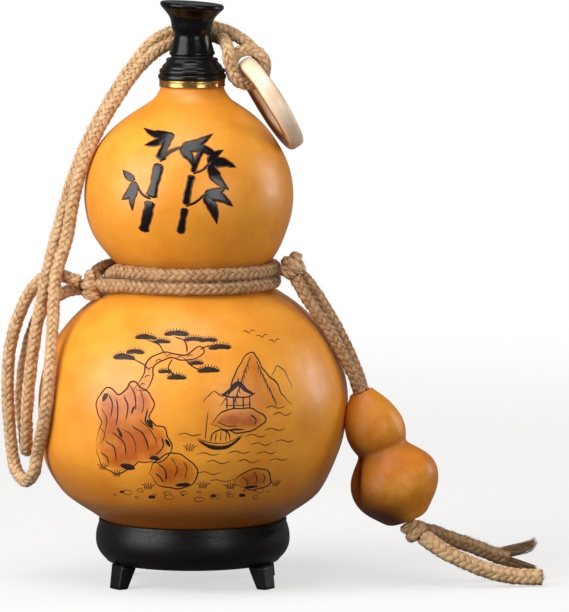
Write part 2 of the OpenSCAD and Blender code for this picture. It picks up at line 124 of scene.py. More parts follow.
# Cubic curve through given points, each stretch weighted by its length
def smoothLine(points, step=None, count=None):
    p = np.asarray(points, float)
    gap = np.diff(p, axis=0)
    h = np.maximum(np.linalg.norm(gap, axis=1), 1e-6)[:, None]
    slope = gap / h
    inner = (slope[:-1] * h[1:] + slope[1:] * h[:-1]) / (h[:-1] + h[1:])
    m = np.vstack([slope[:1], inner, slope[-1:]])
    t = np.linspace(0, 1, 16, endpoint=False)[None, :, None]
    a, b, ma, mb, h = p[:-1, None], p[1:, None], m[:-1, None], m[1:, None], h[:, None]
    dense = (2 * t**3 - 3 * t**2 + 1) * a + (3 * t**2 - 2 * t**3) * b
    dense = dense + h * ((t**3 - 2 * t**2 + t) * ma + (t**3 - t**2) * mb)
    return evenPoints(np.vstack([dense.reshape(-1, p.shape[1]), p[-1:]]), step, count)


# A side vector for each point of a path, carried along it without twist
def sideVectors(path, first=(0.3, 1, 0.2)):
    along = np.gradient(path, axis=0)
    along /= np.linalg.norm(along, axis=1)[:, None]
    side = np.zeros_like(path)
    n = np.array(first, float)
    for i, t in enumerate(along):
        n = n - t * (n @ t)
        n /= np.linalg.norm(n)
        side[i] = n
    return along, side, np.cross(along, side)


def soften(x, low, high):
    t = np.clip((x - low) / (high - low), 0, 1)
    return t * t * (3 - 2 * t)


# A profile of (radius, height) points turned round the Z axis; bend may move each point
def turned(name, profile, segments=144, bend=None, values=None):
    profile = np.asarray(profile, float)
    angle = np.arange(segments) * 2 * np.pi / segments
    r, z = profile[:, 0, None], profile[:, 1, None] + 0 * angle
    points = np.stack([r * np.cos(angle), r * np.sin(angle), z], -1)
    if bend:
        points = bend(points)
    return makePiece(name, points, gridQuads(len(profile), segments), values=values)


# Braided jute: six yarns each way round a core, over two and under two
cordLook = {
    "yarns": 6,            # each way round, an even number
    "lay": 20.0,           # mm along the cord in one turn of a yarn
    "yarnWidth": 1.95,
    "yarnThick": 1.25,
    "groove": 0.74,        # height of a yarn at the groove between its two plies
    "weave": 0.46,         # how far a yarn rises and dips
    "step": 0.8,           # mm between the rings of a yarn
    "unevenness": 0.2,
    "sides": 10,
}


# Yarn k of each way turns round the cord by angle = way 2 pi (s / lay) + 2 pi k / yarns, and its
# height over the others is a wave with one rise every four crossings
def braidedCord(name, path, diameter, seed, frames=None, start=0.0, look=cordLook):
    random = np.random.default_rng(seed)
    along, side, third = frames or sideVectors(path)
    n, count, sides = len(path), look["yarns"], look["sides"]
    scale = diameter / 6
    s = start + np.r_[0, np.cumsum(np.linalg.norm(np.diff(path, axis=0), axis=1))]
    way = np.repeat([1, -1], count)[:, None]
    yarn = np.tile(np.arange(count), 2)[:, None]
    crossing = 2 * count * s / look["lay"]
    over = way * np.cos(np.pi / 2 * (way * crossing + 2 * yarn - 0.5))
    phase = random.uniform(0, 2 * np.pi, (3, 2 * count, 1))
    drift = sum(np.sin(s / (2.1 + 3.3 * k) + phase[k]) for k in range(3)) / 3
    angle = way * 2 * np.pi * s / look["lay"] + 2 * np.pi * yarn / count + 0.05 * drift
    middle = 3 - look["weave"] - look["yarnThick"] / 2
    radius = scale * (middle + look["weave"] * over) + look["unevenness"] * drift
    out = np.cos(angle)[..., None] * side + np.sin(angle)[..., None] * third
    centre = path + radius[..., None] * out
    run = np.gradient(centre, axis=1)
    run /= np.linalg.norm(run, axis=-1, keepdims=True)
    across = np.cross(run, out)
    across /= np.linalg.norm(across, axis=-1, keepdims=True)
    up = np.cross(across, run)
    corner = np.pi / 2 + np.arange(sides) * 2 * np.pi / sides
    high = np.where(np.arange(sides) == 0, look["groove"], np.sin(corner))
    halfWide = (scale * look["yarnWidth"] / 2 * (1 + 0.24 * drift))[..., None, None] * np.cos(corner)[:, None]
    halfHigh = (scale * look["yarnThick"] / 2 * (1 + 0.1 * drift))[..., None, None] * high[:, None]
    yarns = centre[:, :, None] + across[:, :, None] * halfWide + up[:, :, None] * halfHigh
    yarns = np.concatenate([0 * yarns[:, :1] + centre[:, :1, None], yarns, 0 * yarns[:, -1:] + centre[:, -1:, None]], 1)
    rows = n + 2
    quads = gridQuads(rows, sides)[None] + (np.arange(2 * count) * rows * sides)[:, None, None]
    edge = 5.2 / sides * scale
    runAlong = np.r_[s[0], s, s[-1]] * 1.35
    flat = gridMap(np.arange(sides + 1) * edge, runAlong)[None] + np.stack([6.3 * np.arange(2 * count), 0 * np.arange(2 * count)], -1)[:, None, None]
    core = scale * (middle - 0.15)
    coreSides = 10
    turn = np.arange(coreSides) * 2 * np.pi / coreSides
    pick = np.unique(np.r_[0, np.arange(0, n, 3), n - 1])
    rim = np.cos(turn)[:, None] * side[pick][:, None] + np.sin(turn)[:, None] * third[pick][:, None]
    coreRings = path[pick][:, None] + core * rim
    coreRings = np.concatenate([0 * rim[:1] + path[0], coreRings, 0 * rim[:1] + path[-1]])
    coreQuads = gridQuads(len(coreRings), coreSides) + yarns[..., 0].size
    coreMap = gridMap(np.arange(coreSides + 1) * 1.0, np.r_[s[0], s[pick], s[-1]])
    reach = np.linalg.norm(yarns - np.concatenate([path[:1], path, path[-1:]])[None, :, None], axis=-1)
    # how far out each point lies; the material paints shade on the deep ones, in the crevices
    depth = np.clip((reach / scale - 1.7) / 1.3, 0, 1)
    tone = random.uniform(0, 1, (2 * count, 1, 1)) * 0.6 + 0.2 + 0.2 * np.pad(drift, ((0, 0), (1, 1)), "edge")[..., None]
    return makePiece(
        name,
        np.concatenate([yarns.reshape(-1, 3), coreRings.reshape(-1, 3)]),
        np.concatenate([quads.reshape(-1, 4), coreQuads]),
        np.concatenate([flat.reshape(-1, 4, 2), coreMap]),
        {
            "depth": np.r_[depth.ravel(), np.zeros(coreRings[..., 0].size)],
            "tone": np.r_[(tone + 0 * depth).ravel(), np.full(coreRings[..., 0].size, 0.3)],
        },
    )


# Thin bent fibres: each is a three-sided spike along root + reach t + curl t t
def fibres(name, root, reach, curl, thickness, tone):
    count, steps = len(root), 5
    t = np.linspace(0, 1, steps)[None, :, None]
    line = root[:, None] + reach[:, None] * t + curl[:, None] * t**2
    line[..., 2] = np.maximum(line[..., 2], 0.15 + 0.2 * t[..., 0])  # none dips into the floor
    run = np.gradient(line, axis=1)
    run /= np.linalg.norm(run, axis=-1, keepdims=True)
    side = np.cross(run, [0.31, 0.77, 0.56])
    side /= np.linalg.norm(side, axis=-1, keepdims=True)
    third = np.cross(run, side)
    turn = np.arange(3) * 2 * np.pi / 3
    width = np.asarray(thickness).reshape(-1, 1, 1, 1) / 2 * (1 - 0.7 * t[..., None])
    rings = line[:, :, None] + width * (side[:, :, None] * np.cos(turn)[:, None] + third[:, :, None] * np.sin(turn)[:, None])
    rings = np.concatenate([0 * rings[:, :1] + line[:, :1, None], rings, 0 * rings[:, -1:] + line[:, -1:, None]], 1)
    rows = steps + 2
    quads = gridQuads(rows, 3)[None] + (np.arange(count) * rows * 3)[:, None, None]
    flat = gridMap(np.arange(4) * 0.3, np.arange(rows) * 1.0)[None] + np.stack([np.arange(count), np.arange(count) * 0.7], -1)[:, None, None]
    shade = (np.asarray(tone).reshape(-1, 1, 1) + np.zeros((count, rows, 3))).ravel()
    return makePiece(name, rings, quads.reshape(-1, 4), flat.reshape(-1, 4, 2), {"tone": shade, "depth": np.full(shade.size, 0.75)})


# Stray fibres that stand off a cord
def strayFibres(name, path, diameter, perMm, seed):
    random = np.random.default_rng(seed)
    along, side, third = sideVectors(path)
    length = np.linalg.norm(np.diff(path, axis=0), axis=1).sum()
    count = int(length * perMm)
    at = random.integers(2, len(path) - 2, count)
    angle = random.uniform(0, 2 * np.pi, count)
    out = np.cos(angle)[:, None] * side[at] + np.sin(angle)[:, None] * third[at]
    around = np.cross(along[at], out)
    long = random.uniform(0.8, 3.0, count)[:, None]
    lean = random.choice([-1, 1], count)[:, None] * random.uniform(0.3, 1, count)[:, None]
    reach = long * (0.3 * out + 0.75 * lean * along[at] + random.normal(0, 0.35, count)[:, None] * around)
    curl = long * (random.uniform(-0.25, 0.35, count)[:, None] * out + random.normal(0, 0.25, (count, 3)))
    return fibres(name, path[at] + out * diameter * 0.45, reach, curl, random.uniform(0.07, 0.12, count), random.uniform(0.3, 1, count))


# Routes of the cords, in mm, as the CAD model has them; the strap's two legs are pressed together
# over the upper bulb
outerRoute = [
    (-53.5, -9.8, 145.2), (-58.8, -9.4, 146.8), (-64.8, -4, 147.8), (-71, 1.6, 145.6), (-77.5, 5, 138), (-83, 5, 126),
    (-87, 4, 111), (-88, 3, 95), (-87.5, 3.5, 80), (-86.5, 3.5, 66), (-84.5, -0.5, 55), (-79.5, -10, 50),
    (-75, -19.5, 55), (-73, -23, 66), (-70.5, -30.5, 77), (-68.5, -35.5, 89), (-67, -35, 104), (-66, -28.5, 118),
    (-65.4, -19.5, 133), (-64.2, -14, 149), (-59.2, -10.6, 166.1), (-56.1, -9.9, 183.4), (-52, -9.4, 199.5),
    (-45.4, -5.4, 214.7), (-35.8, 0.6, 230.8), (-26.7, 6.1, 244), (-17.4, 10.6, 252.5), (-8, 14.2, 257),
    (2, 15.1, 259.4), (10, 11.2, 260), (14.6, 4, 258.6), (16.8, -3, 255.6), (17.4, -6.9, 250.6),
]
innerRoute = [
    (-52, -4.3, 141.2), (-59, 0.5, 139.5), (-68, 5, 134), (-74.5, 9, 124), (-79, 11.5, 110), (-81.5, 12.5, 95),
    (-82, 12.5, 83), (-81, 12, 74), (-80, 8.5, 67), (-79.2, 0, 63.4), (-78.6, -9, 66.4), (-78.6, -13, 74),
    (-78.4, -15, 82), (-77.5, -15.5, 94), (-76, -14.5, 108), (-73.5, -13, 124), (-70.5, -10.5, 140), (-67, -8, 156),
    (-62.6, -6, 172.8), (-57.9, -3.6, 189.5), (-52, -0.6, 205.4), (-44.1, 4.4, 221.2), (-35.2, 9.4, 236.1),
    (-26.5, 13.2, 248.1), (-18, 17, 257.5), (-8, 20, 262), (2, 21, 264), (11.5, 17.8, 263.4), (19.8, 11.8, 260.6),
    (26.5, 6.9, 256.2),
]
frontPendantRoute = [
    (49.2, -11.8, 146.4), (52.6, -14, 140.4), (57.5, -14.3, 132.8), (62.6, -14.6, 125.2),
    (69.2, -15.6, 114.4), (75.2, -15.4, 103.6), (79.3, -15.1, 92.7),
]
backPendantRoute = [
    (52, -6.1, 147.6), (57.3, -5.6, 141), (62, -7, 133.8), (66.6, -8.8, 126.4),
    (72.4, -9.6, 115.4), (77.2, -9.3, 104), (80.8, -8.9, 93.2),
]
plainTailRoute = [
    (109.6, -14.6, 23.6), (117.5, -17.4, 18.4), (129, -18.2, 12.6), (141, -17.6, 7.8),
    (153.5, -16.4, 5.1), (165.4, -15, 4.4),
]
frayedTailRoute = [(106, -10.4, 27.2), (111.4, -8, 25.6), (120, -4.8, 22.3), (134, -1.8, 17.2), (145, 1.4, 12.4), (149.6, 2.7, 11)]
upperFrayRoute = [(148, 3.2, 12.6), (152, 4.2, 13.2), (157.6, 6, 15.6), (163.6, 8, 18.4)]
lowerFrayRoute = [(146, 2.3, 11), (149.3, 3.2, 9.2), (156.5, 4.6, 6.6), (163.6, 5, 4.8)]

ring = {
    "hitchAt": (26.4, 0, 246.2),  # middle of the band where the cord is hitched
    "radius": 20.4, "band": 7.8, "depth": 8.4, "lean": 31.5, "turn": 9.0,
}
hitch = {"radius": 8.106, "half": 5.2, "start": 250.0, "end": 830.0}
winding = {"radius": 38.94, "low": 144.7, "pitch": 6.2, "knotSide": 10.0, "knotReach": 48.094}


# Points of the ring's own frame (down the ring, along the band, outwards) in the object's frame
def ringFrame(x, y, z):
    turn, lean = np.radians(ring["turn"]), np.radians(-ring["lean"])
    a, b, c = z * np.cos(turn) - y * np.sin(turn), y * np.cos(turn) + z * np.sin(turn), -x
    return np.stack([a * np.cos(lean) + c * np.sin(lean), b, c * np.cos(lean) - a * np.sin(lean)], -1) + np.array(ring["hitchAt"])


def hitchRoute():
    a = np.radians(np.linspace(hitch["start"], hitch["end"], 60))
    y = hitch["half"] * np.linspace(-1, 1, 60)
    return ringFrame(hitch["radius"] * np.cos(a), y, hitch["radius"] * np.sin(a))


# Two level turns, with a climb of one pitch where they pass behind the left knot
def windingRoute():
    leave = np.degrees(np.arccos(winding["radius"] / winding["knotReach"]))
    sweep = 720 - 2 * leave
    a = np.linspace(0, sweep, 180)
    climb = soften(a, sweep - 360 + leave - 16, sweep - 360 + leave + 18)
    turn = np.radians(180 + winding["knotSide"] + leave + a)
    level = winding["low"] + winding["pitch"] * climb
    turns = np.stack([winding["radius"] * np.cos(turn), winding["radius"] * np.sin(turn), level], -1)
    return np.vstack([[(-42.84, -12.73, 143.46), (-38.76, -16.68, 143.78)], turns, [(-44.6, -0.6, 149.4), (-47.6, -6.4, 146.6)]])


lateJute = []


# A cord piece on its route, with its stray fibres
def layCord(name, route, diameter, seed, body, replaced, fuzz=5.5, frames=None, start=0.0, **facts):
    path = route if frames is not None else smoothLine(route, cordLook["step"])
    piece = braidedCord(name, path, diameter, seed, frames, start)
    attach(piece, body)
    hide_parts(*replaced)
    lateJute.append(piece)
    if fuzz:
        loose = strayFibres(name + "Fuzz", path, diameter, fuzz, seed + 100)
        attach(loose, body)
        lateJute.append(loose)
    return piece


# The strap is one cord: down from the knot, up over the shoulder, round the ring and back
strapStretches = [np.array(outerRoute), hitchRoute(), np.array(innerRoute)[::-1]]
strapPath = smoothLine(np.vstack(strapStretches), cordLook["step"])
strapFrames = sideVectors(strapPath)
strapRun = np.r_[0, np.cumsum(np.linalg.norm(np.diff(strapPath, axis=0), axis=1))]
hitchEnds = [np.argmin(np.linalg.norm(strapPath - p, axis=1)) for p in (strapStretches[1][0], strapStretches[1][-1])]
for name, first, last, replaced, diameter, facts in (
    ("strapOuter", 0, hitchEnds[0], "strap_outer", 6.5, {"lay": "hanging", "far_end": "object"}),
    ("strapHitch", hitchEnds[0], hitchEnds[1], "ring_hitch", 6.2, {"lay": "coiled", "far_end": "object"}),
    ("strapInner", hitchEnds[1], len(strapPath) - 1, "strap_inner", 6.5, {"lay": "hanging", "far_end": "object"}),
):
    cut = slice(first, last + 1)
    layCord(name, strapPath[cut], diameter, 3, "bottle", [replaced],
            frames=tuple(f[cut] for f in strapFrames), start=strapRun[first], stiffness="limp", **facts)

layCord("waistWinding", windingRoute(), 6.8, 5, "bottle", ["waist_rope"], stiffness="limp", lay="coiled", far_end="object")
layCord("pendantFront", frontPendantRoute, 6.4, 6, "bottle", ["pendant_cord_front"], stiffness="limp", lay="taut", far_end="object")
layCord("pendantBack", backPendantRoute, 6.4, 7, "bottle", ["pendant_cord_back"], stiffness="limp", lay="taut", far_end="object")
print("strap, winding and pendants made")

# Sizes in mm; the upper bulb, the lower bulb and the flesh between them are merged into one side
gourd = {
    "bottom": 18.0, "lowerZ": 87.0, "upperZ": 185.5, "waistZ": 147.0, "neckTop": 237.0,
    "lowerRadius": 73.5, "lowerDrop": 69.0, "lowerRise": 63.0,
    "upperRadius": 49.5, "upperDrop": 47.6, "upperRise": 46.0,
    "waistRadius": 12.0, "neckRadius": 15.0, "neckRise": 51.5, "neckFlare": 4.4, "flareHeight": 9.0,
    "fullness": 0.25,      # how much fuller than an ellipse the lower bulb's underside is
    "wall": 4.0, "bore": 9.05,
    "columns": 288, "rowStep": 1.45,
}


# Radius at height z of a dome that is widest at height middle: a superellipse of power 2 + full
def domeRadius(z, middle, radius, drop, rise, full=0.0):
    t = np.abs(z - middle) / np.where(z < middle, drop, rise)
    power = 2 + full
    return radius * np.clip(1 - t**power, 0, 1) ** (1 / power)


# Several radii merged into one smooth outline: the fourth root of the sum of fourth powers
def mergeRadii(*radii):
    return sum(r**4 for r in radii) ** 0.25


def gourdRadius(z, inset=0.0):
    g = gourd
    t = (g["lowerZ"] - z) / g["lowerDrop"]
    full = g["fullness"] * (1 - soften(t, 0.6, 0.78)) * soften(t, 0.05, 0.3)
    lower = domeRadius(z, g["lowerZ"], g["lowerRadius"] - inset, g["lowerDrop"] - inset, g["lowerRise"] - inset, full)
    upper = domeRadius(z, g["upperZ"], g["upperRadius"] - inset, g["upperDrop"] - inset, g["upperRise"] - inset)
    waist = domeRadius(z, g["waistZ"], g["waistRadius"] - inset, g["waistZ"] - g["lowerZ"], g["upperZ"] - g["waistZ"])
    flare = g["neckFlare"] * soften(g["neckTop"] - z, 0, g["flareHeight"])
    neck = 0 if inset else domeRadius(z, g["neckTop"], g["neckRadius"] + flare, g["neckRise"], 1.0)
    return mergeRadii(lower, upper, waist, neck)


# Outline of the gourd from its lowest point to the cut neck, as (radius, height)
def gourdOutline(step):
    turn = np.radians(np.arange(0, 84, 0.5))
    low = gourd["lowerZ"] - gourd["lowerDrop"] * np.cos(turn)
    z = np.r_[low, np.arange(low[-1] + 0.3, gourd["neckTop"], 0.3), gourd["neckTop"]]
    r = gourdRadius(z)
    r[0] = 0
    return evenPoints(np.stack([r, z], -1), step)


# A grown shape is never quite round: low waves run round it, and the upper bulb sits to the left
def grown(angle, r, z):
    free = soften(z, 36, 62) * (1 - soften(z, 204, 228)) * (1 - np.exp(-(((z - 147) / 14) ** 2)))
    r = r * (1 + free * (0.0028 * np.sin(2 * angle + 0.8) + 0.002 * np.sin(3 * angle - z / 31)))
    aside = 0.4 * np.exp(-(((z - 94) / 16) ** 2)) - 1.1 * np.exp(-(((z - 56) / 14) ** 2)) - 1.7 * soften(z, 152, 170) * (1 - soften(z, 208, 229))
    return np.stack([r * np.cos(angle) + aside, r * np.sin(angle), z + 0 * angle], -1)


outline = gourdOutline(0.25)
outlineRun = np.r_[0, np.cumsum(np.linalg.norm(np.diff(outline, axis=0), axis=1))]
outward = np.stack([np.gradient(outline[:, 1]), -np.gradient(outline[:, 0])], -1)
outward /= np.linalg.norm(outward, axis=1)[:, None]


# Points of a flat drawing laid on the gourd: u runs round from the middle of its front, v up
# its side, both in mm, and lift is the height over the skin
def onGourd(u, v, middleZ, lift):
    run = np.interp(middleZ, outline[:, 1], outlineRun) + v
    r, z = (np.interp(run, outlineRun, outline[:, k]) for k in (0, 1))
    outR, outZ = (np.interp(run, outlineRun, outward[:, k]) for k in (0, 1))
    return grown(-np.pi / 2 + u / np.maximum(r, 12), r + lift * outR, z + lift * outZ)


upperArt = {"middleZ": 197.0, "shift": (-5.0, 0.0)}
lowerArt = {"middleZ": 88.0, "shift": (1.2, 0.0)}

# Closed outlines of the lower drawing, each with the strength of its amber wash
shapes = {
    "cliff": ([(-49, -14), (-47, -4), (-49, 5), (-43, 12), (-36, 10), (-31, 16), (-24, 14), (-19, 7), (-21, -1), (-14, -6),
               (-10, -14), (-15, -21), (-25, -22), (-33, -27), (-44, -25), (-49, -14)], 0.85),
    "boulder": ([(-20, -27), (-16, -19.5), (-8, -17), (0, -21), (3, -28), (-3, -34), (-14, -34), (-20, -27)], 0.75),
    "shoal": ([(20, -33), (24, -27.5), (31, -25.5), (38, -28.5), (40, -33.5), (30, -36.5), (20, -33)], 0.7),
    "trunk": ([(-29, 13), (-24, 19), (-22, 27), (-13, 31.5), (-4, 30), (4, 34), (4.6, 32.4), (-3, 27.4), (-12, 28.4),
               (-18.5, 24.4), (-20, 17), (-24, 12), (-29, 13)], 0.6),
    "hill": ([(12, 5), (17, 12), (20, 21), (25, 29), (29, 31), (32, 25), (36, 19), (40, 16), (45, 8), (50, 4), (32, 2), (12, 5)], 0.42),
    "islet": ([(8, -3), (13, 2), (21, 4), (29, 3), (35, -2), (30, -6), (16, -6.5), (8, -3)], 0.8),
}
# Darker places in the washes: u, v, half sizes and strength
washes = [
    (-40, 2, 5, 9, 0.6), (-27, -12, 9, 7, 0.7), (-36, -19, 6, 5, 0.5), (-10, -27, 7, 5, 0.5), (31, -32, 6, 3, 0.5),
    (30, 22, 4, 8, 0.4), (-25, 8, 5, 5, 0.35), (20, -2, 8, 3, 0.5), (-2, -9, 10, 2, 0.3), (10, -24, 8, 2, 0.3),
]


# How deep points lie inside an outline: mm to its nearest side, below 0 outside
def depthInside(u, v, shape):
    near, inside = np.full(u.shape, 1e9), np.zeros(u.shape, bool)
    for (x1, y1), (x2, y2) in zip(shape[:-1], shape[1:]):
        dx, dy = x2 - x1, y2 - y1
        t = np.clip(((u - x1) * dx + (v - y1) * dy) / (dx * dx + dy * dy), 0, 1)
        near = np.minimum(near, np.hypot(u - x1 - t * dx, v - y1 - t * dy))
        inside ^= ((y1 > v) != (y2 > v)) & (u < x1 + (v - y1) * dx / (dy if dy else 1e-9))
    return np.where(inside, near, -near)


def makeGourd():
    g = gourd
    outer = evenPoints(outline, g["rowStep"])
    turn = np.radians(np.arange(90, -8, -7.5))
    domeTop = g["upperZ"] + g["upperRise"] - g["wall"]
    domeZ = g["upperZ"] + (domeTop - g["upperZ"]) * np.sin(turn)
    domeZ = domeZ[domeZ > g["upperZ"]]
    sideZ = np.linspace(g["upperZ"], g["lowerZ"], 40)
    floorZ = g["lowerZ"] - (g["lowerDrop"] - g["wall"]) * np.sin(np.radians(np.arange(5, 91, 5)))
    inZ = np.r_[domeZ, sideZ, floorZ]
    inR = np.maximum(gourdRadius(inZ, g["wall"]), 0)
    keep = (inR > g["bore"]) | (inZ < g["upperZ"])
    inR[-1] = 0
    inside = np.stack([inR, inZ], -1)[keep]
    profile = np.vstack([outer, [(g["bore"], g["neckTop"]), (g["bore"], inside[0, 1])], inside])
    angle = np.arange(g["columns"]) * 2 * np.pi / g["columns"]
    r, z = profile[:, 0, None], profile[:, 1, None]
    points = grown(angle, r, z)
    run = np.r_[np.linspace(0, outlineRun[-1], len(outer)), np.full(len(profile) - len(outer), -999.0)][:, None]
    u = (np.mod(angle + np.pi / 2 + np.pi, 2 * np.pi) - np.pi) * r - lowerArt["shift"][0]
    v = run - np.interp(lowerArt["middleZ"], outline[:, 1], outlineRun)
    u, v = u + 0 * run, v + 0 * u
    wash = sum(k * soften(depthInside(u, v, shape), -0.6, 2.4) for shape, k in shapes.values())
    wash = wash + sum(k * np.exp(-(((u - a) / su) ** 2) - ((v - b) / sv) ** 2) for a, b, su, sv, k in washes)
    wash = wash * (np.abs(u) < 60) * (np.abs(v) < 60)
    # painted shade: darker in the waist's crease, at the top of the neck under the brass ferrule, and towards the
    # bottom
    paintedShade = np.exp(-(((z - 148) / 9) ** 2)) * 0.6 + np.exp(-(((z - g["neckTop"]) / 7) ** 2)) * 0.3
    paintedShade = (paintedShade + 1.15 * np.clip((68 - z) / 46, 0, 1) ** 1.2) * (run > -1) + 0 * u
    return makePiece("gourdSkin", points, gridQuads(len(profile), g["columns"]), values={"wash": wash.ravel(), "shade": paintedShade.ravel()})


gourdSkin = makeGourd()
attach(gourdSkin, "bottle")
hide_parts("gourd_shell")
print("gourd made")


# Half widths along a stroke, for t from its start to its end
def lineShape(t):
    return np.minimum(1, np.minimum(7 * t, 5 * (1 - t)) + 0.12) ** 0.7


def leafShape(t):
    return np.sin(np.pi * t**0.7) ** 0.9 * (1 - 0.25 * t) + 0.02


def stalkShape(t):
    return (0.84 + 0.3 * (2 * t - 1) ** 4) * np.minimum(1, np.minimum(14 * t, 14 * (1 - t)) + 0.35)


def blotShape(t):
    return np.sqrt(np.clip(1 - (2 * t - 1) ** 2, 0, 1)) + 0.02


# Strokes burnt into the skin: a smooth line, widened to both sides by its shape, whose domed
# top stands lift over the skin and whose edges are sunk in it
def burntStrokes(name, strokes, art, lift, spread=0.0, step=0.9):
    allPoints, allQuads, size = [], [], 0
    for points, width, shape, seed in strokes:
        random = np.random.default_rng(seed)
        wide = width > 1.6
        columns = np.linspace(-1, 1, 7 if wide else 3)
        count = max(7, int(np.linalg.norm(np.diff(points, axis=0), axis=1).sum() / step))
        line = smoothLine(points, count=count)
        t = np.linspace(0, 1, count)
        ripple = 1 + 0.10 * np.sin(random.uniform(0, 6) + 9 * t) + 0.06 * np.sin(random.uniform(0, 6) + 23 * t)
        half = (width * shape(t) * ripple + spread * np.minimum(1, shape(t) * 3)) / 2
        along = np.gradient(line, axis=0)
        side = np.stack([-along[:, 1], along[:, 0]], -1) / np.maximum(np.linalg.norm(along, axis=1), 1e-6)[:, None]
        flat = line[:, None] + side[:, None] * (half[:, None] * columns)[..., None]
        flat = np.concatenate([flat, line[:, None]], 1)
        flat = np.concatenate([0 * flat[:1] + line[0], flat, 0 * flat[-1:] + line[-1]])
        height = np.r_[np.where(np.abs(columns) > 0.99, -0.05, lift * (1 - 0.3 * columns**2)), -0.3]
        points3 = onGourd(flat[..., 0] + art["shift"][0], flat[..., 1] + art["shift"][1], art["middleZ"], height)
        points3[0], points3[-1] = points3[0, -1], points3[-1, -1]
        allPoints.append(points3.reshape(-1, 3))
        allQuads.append(gridQuads(count + 2, len(columns) + 1) + size)
        size += points3[..., 0].size
    piece = makePiece(name, np.concatenate(allPoints), np.concatenate(allQuads))
    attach(piece, "bottle")
    return piece


def leaf(x, y, heading, length, width, bend=0.12, seed=0):
    a = np.radians(heading)
    ahead, aside = np.array([np.cos(a), np.sin(a)]), np.array([-np.sin(a), np.cos(a)])
    start = np.array([x, y], float)
    return ([start, start + ahead * length * 0.5 + aside * length * bend, start + ahead * length], width, leafShape, seed)


# A hand-drawn outline: the line through the points with small wanderings
def wander(points, amount, seed):
    random = np.random.default_rng(seed)
    line = smoothLine(points, 1.1)
    t = np.arange(len(line))[:, None]
    phase = random.uniform(0, 6.3, (4, 1, 2))
    drift = sum(np.sin(t / (1.1 + 1.3 * k) + phase[k]) for k in range(4)) / 2
    return line + amount * drift * np.minimum(1, np.minimum(t, len(line) - 1 - t) / 3)


# Upper bulb: a bamboo spray in broad burnt strokes
bamboo = [
    ([(-15, -23), (-13, -15.5), (-11.6, -9.4)], 4.6, stalkShape, 1),
    ([(-11.2, -7.8), (-9.2, 0), (-7.7, 7)], 4.3, stalkShape, 2),
    ([(-7.3, 8.6), (-5.4, 15), (-3.6, 22.5)], 3.9, stalkShape, 3),
    ([(1.5, -23.5), (2.6, -17), (3.5, -12)], 2.9, stalkShape, 4),
    ([(3.8, -10.7), (5, -4), (6.5, 2)], 2.8, stalkShape, 5),
    ([(6.9, 3.2), (8.6, 9), (10.8, 13.5)], 2.4, stalkShape, 6),
    ([(-7.4, 7.8), (-3, 12.6), (2.2, 15)], 1.2, lineShape, 7),
    ([(6.8, 2.6), (11, 4.2), (14, 7.4)], 1.1, lineShape, 8),
    ([(3.7, -11.3), (8, -9.6), (12, -6.2)], 1.1, lineShape, 9),
    ([(-11.4, -8.6), (-15.5, -6.4), (-18.6, -1.4)], 1.1, lineShape, 10),
    leaf(2.2, 15, -18, 17, 4.6, 0.10, 11), leaf(1.6, 15.2, 26, 15, 4.2, -0.10, 12), leaf(1.4, 14.4, -58, 12, 3.8, 0.1, 13),
    leaf(14, 7.4, -12, 12.5, 4.2, 0.10, 14), leaf(13.6, 7, -52, 15, 4.4, -0.08, 15), leaf(13, 7.4, 38, 9.5, 3.4, 0.08, 16),
    leaf(12, -6.2, -24, 14, 4.3, 0.10, 17), leaf(11.6, -6.6, -66, 14, 4.2, 0.09, 18), leaf(11.6, -5.8, 14, 10.5, 3.5, -0.1, 19),
    leaf(-18.6, -1.4, 228, 11, 3.9, 0.1, 20), leaf(-18.4, -1.2, 262, 13, 4.1, -0.08, 21), leaf(-18.8, -0.6, 150, 8, 3.2, 0.08, 22),
    leaf(-3.4, 21.5, 168, 14, 3.9, 0.12, 23), leaf(-4, 20.5, 205, 12.5, 3.7, 0.08, 24),
]

# Lower bulb: a pine leaning from a cliff over a lake, with an islet and its pavilion, hills,
# a boat, boulders and pebbles
fine, bold = 0.7, 1.1
landscape = []


def draw(points, width=fine, shape=lineShape, amount=0.25):
    seed = 31 + len(landscape)
    line = wander(points, amount, seed) if amount else points
    landscape.append((line, width, shape, seed))


for name, amount in (("cliff", 0.7), ("boulder", 0.5), ("shoal", 0.4), ("trunk", 0.3), ("islet", 0.4)):
    draw(shapes[name][0], bold, lineShape, amount)
draw(shapes["hill"][0][:-2], bold, lineShape, 0.5)
draw([(38, 18), (42, 23), (46, 20), (50, 12)], fine, lineShape, 0.4)
draw([(4, 7), (9, 12), (13, 10), (17, 12)], fine, lineShape, 0.4)

# Cracks of the cliff and the boulders: each a start, a turn and an end
for x1, y1, x2, y2, x3, y3 in (
    (-46, 3, -43, -3, -44, -9), (-42, 10, -40, 4, -41, -1), (-38, 8, -37, 2, -38, -5), (-34, 10, -32, 4, -33, -2),
    (-31, 15, -28, 9, -28, 3), (-26, 13, -24, 7, -25, 1), (-44, -12, -39, -15, -37, -22), (-40, -8, -34, -12, -32, -19),
    (-35, -6, -29, -10, -27, -18), (-30, -4, -24, -8, -21, -16), (-26, -1, -20, -7, -17, -14), (-22, 4, -23, -2, -19, -6),
    (-15, -9, -14, -14, -18, -18), (-46, -18, -42, -21, -41, -24), (-16, -22, -12, -26, -12, -31), (-10, -19, -7, -24, -8, -30),
    (-4, -21, -2, -25, -3, -30), (-17, -27, -14, -30, -13, -32), (24, -29, 27, -32, 27, -35), (30, -27, 32, -31, 31, -34),
    (35, -28, 36, -31, 35, -34), (11, -2, 15, -4, 21, -4.5), (27, 1, 30, -2, 29, -4), (-47, -6, -44, -9, -46, -14),
):
    draw([(x1, y1), (x2, y2), (x3, y3)], fine if (x1 + y1) % 2 else bold)
